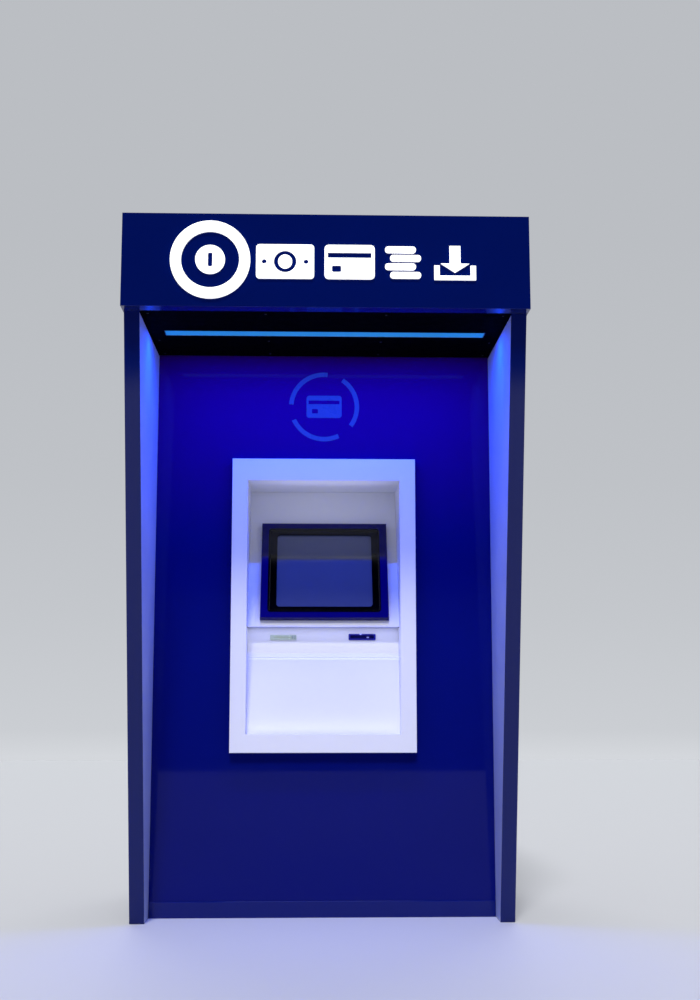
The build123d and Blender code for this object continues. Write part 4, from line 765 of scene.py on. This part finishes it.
# Combination dial: graduated flange that turns with it, ring and index on the door.
dial_low, dial_high = corners_mm("lock_dial")
dial_x = (dial_low.x + dial_high.x) / 2
dial_z = (dial_low.z + dial_high.z) / 2
STRAP_RISE = 17
safe_face = corners_mm("safe_hinges")[1].y - STRAP_RISE
dial_base = safe_face + 0.3
engraved = Finish("white_infill", linear(226, 228, 230), 0.5, specular=0.3)
engraved.mottle(0.05, 300.0).gloss(0.42, 0.58, 200.0).relief(engraved.noise(800.0), 0.00004, 0.4)
RIM_RADIUS, RIM_HEIGHT = 30.0, 5.0
TOP_RADIUS, TOP_HEIGHT = 22.0, 10.0
slant = math.hypot(RIM_RADIUS - TOP_RADIUS, TOP_HEIGHT - RIM_HEIGHT)
cone_run = (RIM_RADIUS - TOP_RADIUS) / slant
cone_rise = (TOP_HEIGHT - RIM_HEIGHT) / slant


def on_cone(turn, share):
    """Plane on the dial's cone: local Y points to the rim, share runs from its inner to its outer edge."""
    angle = math.radians(turn)
    radial = Vector((-math.sin(angle), 0, math.cos(angle)))
    tangent = Vector((-math.cos(angle), 0, -math.sin(angle)))
    radius = TOP_RADIUS + (RIM_RADIUS - TOP_RADIUS) * share
    height = TOP_HEIGHT + (RIM_HEIGHT - TOP_HEIGHT) * share
    origin = Vector((dial_x, dial_base + height, dial_z)) + radial * radius
    return plane(origin, tangent, radial * cone_run - Vector((0, cone_rise, 0)))


MARKS = 50
ticks = Piece()
for mark in range(MARKS):
    length, half = (3.8, 0.32) if mark % 5 == 0 else (2.2, 0.2)
    ticks.block((-half, -length, -0.1), (half, 0, 0.12), on_cone(mark * 360 / MARKS, 0.94))
ticks.add("dial_graduation", engraved.material, "chrome", "lock_dial")


def lettered(name, rows, size, finish, slot, body):
    """Raised figures: one mesh from (text, plane) rows."""
    piece = Piece()
    for text, place in rows:
        curve = bpy.data.curves.new(name, "FONT")
        curve.body = text
        curve.size = size
        curve.align_x = "CENTER"
        curve.align_y = "CENTER"
        curve.extrude = 0.06
        mesh = curve_mesh(name, curve)
        mesh.transform(place)
        piece.mesh.from_mesh(mesh)
        bpy.data.meshes.remove(mesh)
    return piece.add(name, finish, slot, body)


lettered("dial_figures", [(str(10 * step), on_cone(36 * step, 0.3)) for step in range(10)], 4.6, engraved.material,
         "chrome", "lock_dial")
Piece().turned([(31.5, 0), (38, 0), (38, 1.6), (37.2, 2.4), (32.3, 2.4), (31.5, 1.6)], (dial_x, safe_face, dial_z),
               closed=True, steps=64).add("dial_ring", finishes["steel"], "steel", "safe_door")
Piece(rear_plane((dial_x, safe_face + 2.3, dial_z))).prism([(0, 32.6), (2.2, 37), (-2.2, 37)], 0, 0.35).add(
    "dial_index", engraved.material, "steel", "safe_door")

HANDLE_Z = 250
Piece().turned([(8.5, 0), (8.5, 0.8), (6.5, 2.2), (2.4, 2.8), (2.2, 2.8, 6), (2.1, 1.2, 6), (0, 1.2)],
               (dial_x, corners_mm("safe_handle")[1].y, HANDLE_Z)).add(
    "handle_cap", finishes["chrome"], "chrome", "safe_handle")
case_front = corners_mm("lock_case")[0].y
screws("lock_case_screws", [(dial_x + sx * 34, case_front, dial_z + sz * 23) for sx in (-1, 1) for sz in (-1, 1)],
       "-y", 3.5, "safe_door")

# Safe hinges: bolts through the straps and the brackets.
STRAP_FEET = (194.5, 459.5)
screws("strap_bolts", [(x, safe_face + 10, foot + 33) for foot in STRAP_FEET for x in (166, 206)], "+y", 5.0,
       "safe_door", head=HEX_BOLT)
screws("bracket_bolts", [(258, y, foot + 11) for foot in STRAP_FEET for y in (506, 534)], "+x", 5.0, head=HEX_BOLT)

# Cash boxes: lock, key slot, smoked window and release grip in each rear end; the lowest four are note cassettes.
box_low, box_high = corners_mm("cash_cassette_1")
pitch = corners_mm("cash_cassette_2")[0].z - box_low.z
box_rear = box_high.y
barrels, keyways, windows, tabs = Piece(), Piece(), Piece(), Piece()
for level, height in enumerate((90, 90, 90, 90, 72)):
    middle = box_low.z + pitch * level + height * 0.42
    grip = middle + height * 0.21
    barrels.turned([(7.5, 0), (7.5, 2.0), (6.6, 2.8), (5.2, 2.8), (5.0, 2.2), (0, 2.2)], (198, box_rear, middle))
    keyways.block((197.4, box_rear + 1, middle - 3.4), (198.6, box_rear + 2.5, middle + 3.4))
    windows.prism(rectangle(-44, middle, 18, 28, 4), 0, 0.8, rear_plane((0, box_rear, 0)))
    tabs.block((102, box_rear - 15, grip - 6), (138, box_rear + 1.2, grip - 1.5))
smoked = Finish("smoked_window", linear(12, 13, 15), 0.12, specular=0.5)
smoked.mottle(0.3, 40.0).gloss(0.08, 0.18, 60.0).relief(smoked.noise(6.0), 0.0001, 0.15)
release = Finish("release_grip", linear(34, 74, 122), 0.4, specular=0.4)
release.mottle(0.08, 60.0).gloss(0.35, 0.5, 80.0).relief(release.noise(900.0), 0.00006, 0.4)
barrels.add("cassette_locks", plated.material, "steel")
keyways.add("cassette_key_slots", blackened.material, "plastic_black", ease=0.1)
windows.add("cassette_windows", smoked.material, "cassette_grey", ease=0.2)
tabs.add("cassette_releases", release.material, "cassette_grey", ease=0.6)

# Computer and power supply: guard, socket shells, switch, terminals and screws.
CORE_BOSS = 6.0
PORT_PITCH = 54
core_low, core_high = corners_mm("pc_core")
core_face = core_high.y - CORE_BOSS
crossed_guard("core_fan_guard", (core_low.x + core_high.x) / 2, core_low.z + 150, "+y",
              (core_high.y - 1, 0.8, (10, 19, 28)), (core_high.y - 2.6, 35, 1.4, (0, 90)), 0.25)
shells, tongues = Piece(), Piece()
for port in range(4):
    socket = rear_plane((core_low.x + PORT_PITCH * (port + 1), core_face, core_low.z + 50))
    for side, half in (((-9, 7), (9, 7)) if port % 2 else ((0, 15.5),)):
        shells.frame((side - half, -5, -5.8), (side + half, 5, 0.5), 1.0, socket)
        tongues.block((side - half + 2.4, -1.6, -5.8), (side + half - 2.4, 0.6, -1), socket)
shells.add("core_port_shells", plated.material, "steel")
tongues.add("core_port_tongues", finishes["plastic_black"], "plastic_black", ease=0.2)
screws("core_screws", [(x, core_face, z) for x in (core_low.x + 9, core_high.x - 9)
                       for z in (core_low.z + 9, (core_low.z + core_high.z) / 2, core_high.z - 9)], "+y", 3.2)
supply_low, supply_high = corners_mm("power_supply")
screws("supply_screws", [(x, supply_high.y, z) for x in (supply_low.x + 8, supply_high.x - 8)
                         for z in (supply_low.z + 8, supply_high.z - 8)], "+y", 3.0)
rocker = Piece(rear_plane((supply_high.x - 34, supply_high.y, supply_low.z + 12)))
rocker.frame((-11, -7, 0), (11, 7, 1.6), 1.6).prism([(-9, -5.2), (9, -5.2), (9, 5.2), (-9, 5.2)], 0.2, 1.2)
rocker.block((-8.6, -4.8, 1.0), (0, 4.8, 3.2))
rocker.add("supply_switch", finishes["plastic_black"], "plastic_black", ease=0.4)
TERMINAL_PITCH = 10.7
terminal_x = supply_low.x + 62
terminal_row = Piece(rear_plane((terminal_x, supply_high.y, supply_low.z + 12)))
terminal_row.block((-32, -7, 0), (32, 7, 5))
for step in range(7):
    terminal_row.block((-32.6 + step * TERMINAL_PITCH, -7.6, 0), (-31.4 + step * TERMINAL_PITCH, 7.6, 8))
terminal_row.add("supply_terminals", finishes["plastic_black"], "plastic_black", ease=0.3)
screws("terminal_screws", [(terminal_x - 26.7 + step * TERMINAL_PITCH, supply_high.y + 5, supply_low.z + 12)
                           for step in range(6)], "+y", 2.8)

# Card reader and note transport.
reader_low, reader_high = corners_mm("card_reader")
screws("reader_screws", [(x, y, reader_high.z) for x in (reader_low.x + 10, reader_high.x - 10)
                         for y in (reader_high.y - 20, reader_high.y - 180)], "+z", 3.0)
Piece().block((-164, reader_high.y, 914), (-116, reader_high.y + 7, 930)).block(
    (-158, reader_high.y + 6, 917), (-122, reader_high.y + 9, 927)).add(
    "reader_connector", finishes["plastic_black"], "plastic_black", ease=0.6)
screws("transport_screws", [(191.5, y, z) for y, z in ((168, 640), (232, 640), (168, 800), (190, 880))], "+x", 4.0,
       head=HEX_BOLT)

# Monitor: screws behind it, and the thin round-cornered border of its screen.
SCREEN_TILT = math.radians(24.9)
SCREEN_FOOT = (4.0, 24.8, 1004.3)
screen_up = (0, math.sin(SCREEN_TILT), math.cos(SCREEN_TILT))
behind = plane(SCREEN_FOOT, (-1, 0, 0), screen_up)
for name, head, size, depth, across, heights in (
    ("monitor_mount_screws", PAN_HEAD, 4.0, 66, (-50, 50), (103, 178)),
    ("monitor_clamp_bolts", HEX_BOLT, 4.2, 28, (-208, 208), (40, 193, 346)),
):
    fixings = Piece(behind)
    for u in across:
        for v in heights:
            fixings.turned(head, (u, v, depth), "+z", size)
    fixings.add(name, plated.material, "zinc")

SCREEN_MIDDLE = 193
rims = [[(x, v, w) for x, v in rectangle(shift, SCREEN_MIDDLE, width, height, radius)]
        for shift, width, height, radius, w in (
            (-1, 398, 342, 12, -0.2), (-1, 398, 342, 12, 0.4), (0, 390, 328, 2, 0.4), (0, 381.8, 319.8, 2, -3.8))]
Piece(plane(SCREEN_FOOT, (1, 0, 0), screen_up)).skin(rims, IDENTITY, closed=True).add(
    "screen_border", finishes["bezel_black"], "bezel_black", ease=0.2)

# Console front: seal along its top, marks and ribs of the card slot, arrow and lens of the note slot.
CONSOLE_LEAN = 0.2247
console = plane((0, 64.5, 866.0), (1, 0, 0), (0, math.sin(CONSOLE_LEAN), math.cos(CONSOLE_LEAN)))
SLOT_FACE = 5.0
console_low, console_high = corners_mm("console_panel")
SEAL_TOP = 974.2
seal_foot = console_high.z - 0.2
Piece().prism([(86, seal_foot), (92, seal_foot), (92, SEAL_TOP), (86, SEAL_TOP)],
              console_low.x + 1, console_high.x - 1, plane((0, 0, 0), (0, 1, 0), (0, 0, 1))).add(
    "console_seal", moulded("pale_seal", linear(196, 198, 232), 0.5, 0.65, specular=0.2), "fascia_white", ease=0.3)
SLOT_MIDDLE = 72.75
pale_mark = moulded("pale_green_mark", linear(206, 220, 206), 0.3, 0.4, specular=0.3)
grey_mark = moulded("grey_green_rib", linear(132, 150, 160), 0.35, 0.5, specular=0.3)
marks, ribs = Piece(console), Piece(console)
for side in (-1, 1):
    marks.prism(rectangle(-118.8, SLOT_MIDDLE + side * 4.45, 5, 4.6, 1.4), SLOT_FACE - 0.2, SLOT_FACE + 0.7)
for x, width in ((-108.6, 3.2), (-102.4, 2.2), (-98.4, 2.2)):
    ribs.prism(rectangle(x, SLOT_MIDDLE, width, 13, 1.0), SLOT_FACE - 0.2, SLOT_FACE + 0.9)
marks.add("card_slot_marks", pale_mark, "slot_green", ease=0.2)
ribs.add("card_slot_ribs", grey_mark, "slot_green", ease=0.2)
lens = Finish("pale_lens", linear(176, 180, 236), 0.25, specular=0.3)
lens.mottle(0.04, 200.0).gloss(0.2, 0.32, 150.0).glow(linear(130, 136, 216), 0.7)
lens.relief(lens.noise(300.0), 0.00003, 0.3)
Piece(console).prism([(125.7, 85.4), (131.2, 80.4), (136.7, 85.4)], SLOT_FACE - 0.6, SLOT_FACE + 0.3).add(
    "note_slot_arrow", lens.material, "bezel_navy", ease=0.1)
Piece(console).prism(ellipse(157.3, 77.2, 4.6, 2.6, 32), -12.5, -12.1).add(
    "shutter_lens", lens.material, "steel", "note_shutter")


# ---------------------------------------------------------------- stage, light and camera
def floor_material():
    """Plain floor whose tone lifts slowly with the distance from the object."""
    near = linear(205, 207, 212)
    finish = Finish("pale_floor", near, 0.6, specular=0.2)
    away = finish.add("ShaderNodeVectorMath", operation="LENGTH")
    finish.link(finish.place, away.inputs[0])
    tone = finish.graded(away.outputs["Value"], 1.2, 9.0, [(0.0, near), (1.0, linear(206, 209, 213))])
    finish.link(tone, finish.shader.inputs["Base Color"])
    return finish.material


FLOOR_FRONT = -7.8
FLOOR_BACK = 9.6
FLOOR_SIDE = 10.0
floor_mesh = bpy.data.meshes.new("floor")
floor_mesh.from_pydata(
    [(-FLOOR_SIDE, FLOOR_FRONT, 0), (FLOOR_SIDE, FLOOR_FRONT, 0),
     (FLOOR_SIDE, FLOOR_BACK, 0), (-FLOOR_SIDE, FLOOR_BACK, 0)], [], [range(4)])
floor_mesh.materials.append(floor_material())
floor = put("floor", floor_mesh)


def studio_world():
    """Even light for the object; what camera and mirrors see is a pale back wall and a dim front."""
    world = bpy.data.worlds.new("studio")
    world.use_nodes = True
    air = Nodes(world.node_tree)
    background = world.node_tree.nodes["Background"]
    background.inputs["Strength"].default_value = 1.0
    direction = air.add("ShaderNodeTexCoord").outputs["Generated"]
    rise = air.axis(direction, "Z")
    depth = air.axis(direction, "Y")
    wall = air.graded(rise, -0.05, 0.32, WALL_TONES)
    dim = air.graded(rise, -0.08, 0.09, [(0.0, DIM_FRONT), (0.86, DIM_FRONT), (0.9, DARK_FRONT), (1.0, DARK_FRONT)])
    level = air.graded(depth, -1.0, 1.0, [(0.0, AMBIENT_FRONT), (0.25, AMBIENT_SLANT), (0.5, AMBIENT_SIDE),
                                          (1.0, AMBIENT_REAR)])
    soft = air.mix(1.0, level, air.graded(rise, 0.45, 0.75, [(0.0, LOW_SKY), (1.0, HIGH_SKY)]), "MULTIPLY")
    rays = air.add("ShaderNodeLightPath").outputs
    ahead = air.remap(depth, 0.0, 1.0, (0.15, -0.4))
    mirrored = air.maths("MAXIMUM", rays["Is Glossy Ray"], rays["Is Transmission Ray"])
    shown = air.maths("MAXIMUM", rays["Is Camera Ray"], mirrored)
    seen = air.mix(air.maths("MULTIPLY", ahead, mirrored), wall, dim)
    air.link(air.mix(shown, soft, seen), background.inputs["Color"])
    return world


WALL_TONES = [(0.0, linear(212, 215, 220)), (0.05, linear(203, 206, 211)), (0.28, linear(196, 199, 204)),
              (0.54, linear(191, 194, 199)), (1.0, linear(187, 190, 195))]
AMBIENT_FRONT = (0.47, 0.475, 0.5, 1.0)
AMBIENT_SLANT = (0.27, 0.275, 0.29, 1.0)
AMBIENT_SIDE = (0.185, 0.19, 0.215, 1.0)
AMBIENT_REAR = (0.4, 0.405, 0.42, 1.0)
LOW_SKY = (0.72, 0.72, 0.72, 1.0)
HIGH_SKY = (1.2, 1.2, 1.2, 1.0)
DIM_FRONT = (0.05, 0.057, 0.112, 1.0)
DARK_FRONT = (0.004, 0.004, 0.006, 1.0)
bpy.context.scene.world = studio_world()


def lamp(name, kind, energy, colour, location, rotation):
    """Lamp that neither the camera nor mirrors see."""
    data = bpy.data.lights.new(name, kind)
    data.energy = energy
    data.color = colour
    holder = put(name, data)
    holder.location = location
    holder.rotation_euler = rotation
    holder.visible_camera = False
    holder.visible_glossy = False
    return holder


def strip_lamp(name, energy, colour, y, z, turn, length, width):
    """Rectangular lamp across the middle, in millimetres, turned in degrees about X from straight down."""
    holder = lamp(name, "AREA", energy, colour, (0, y * MM, z * MM), (math.radians(turn), 0, 0))
    holder.data.shape = "RECTANGLE"
    holder.data.size = length * MM
    holder.data.size_y = width * MM
    return holder


KEY_ELEVATION = math.radians(54.0)
KEY_AZIMUTH = math.radians(-6.5)
key = lamp("key", "SUN", 2.19, (1, 1, 1), (0, -4, 5), (math.pi / 2 - KEY_ELEVATION, 0, KEY_AZIMUTH))
key.data.angle = math.radians(11)
FILL_ELEVATION = math.radians(40)
fill = lamp("rear_fill", "SUN", 1.1, (1, 1, 1), (0, 4, 4), (FILL_ELEVATION - math.pi / 2, 0, 0))
fill.data.angle = math.radians(60)

# Light of the blue strip, and soft light that white surfaces throw on the console, the niche, the shelf and the apron.
strip_low, strip_high = corners_mm("led_diffuser")
strip_lamp("led_strip", 16.2, (0.0, 0.07, 1.0), strip_low.y + 24, strip_low.z - 3, 0, strip_high.x - strip_low.x, 10)
strip_lamp("console_fill", 0.11, (0.58, 0.62, 1.0), 46, 970, 0, 540, 20)
strip_lamp("niche_fill", 0.115, (0.7, 0.72, 1.0), 20, 1380, 165, 400, 14)
strip_lamp("shelf_fill", 0.05, (0.2, 0.22, 1.0), -150, 985, 90, 460, 16)
strip_lamp("apron_fill", 0.044, (0.9, 0.95, 1.0), -16, 613, 180, 500, 24)

# Bright card under the soffit that the touch glass mirrors.
card = strip_lamp("screen_card", 0.086, (0.98, 0.98, 1.0), -326, 1925, 0, 900, 56)
card.data.spread = math.radians(110)
card.visible_glossy = True

CAMERA_PLACE = (-0.0449, -4.6161, 0.7674)
CAMERA_PITCH = 0.1392
CAMERA_YAW = 0.0296
camera_data = bpy.data.cameras.new("camera")
camera_data.sensor_width = 36.0
camera_data.lens = 47.9
camera = put("camera", camera_data)
camera.location = CAMERA_PLACE
camera.rotation_euler = (math.pi / 2 + CAMERA_PITCH, 0, -CAMERA_YAW)
bpy.context.scene.camera = camera

bpy.context.scene.view_settings.view_transform = "Standard"
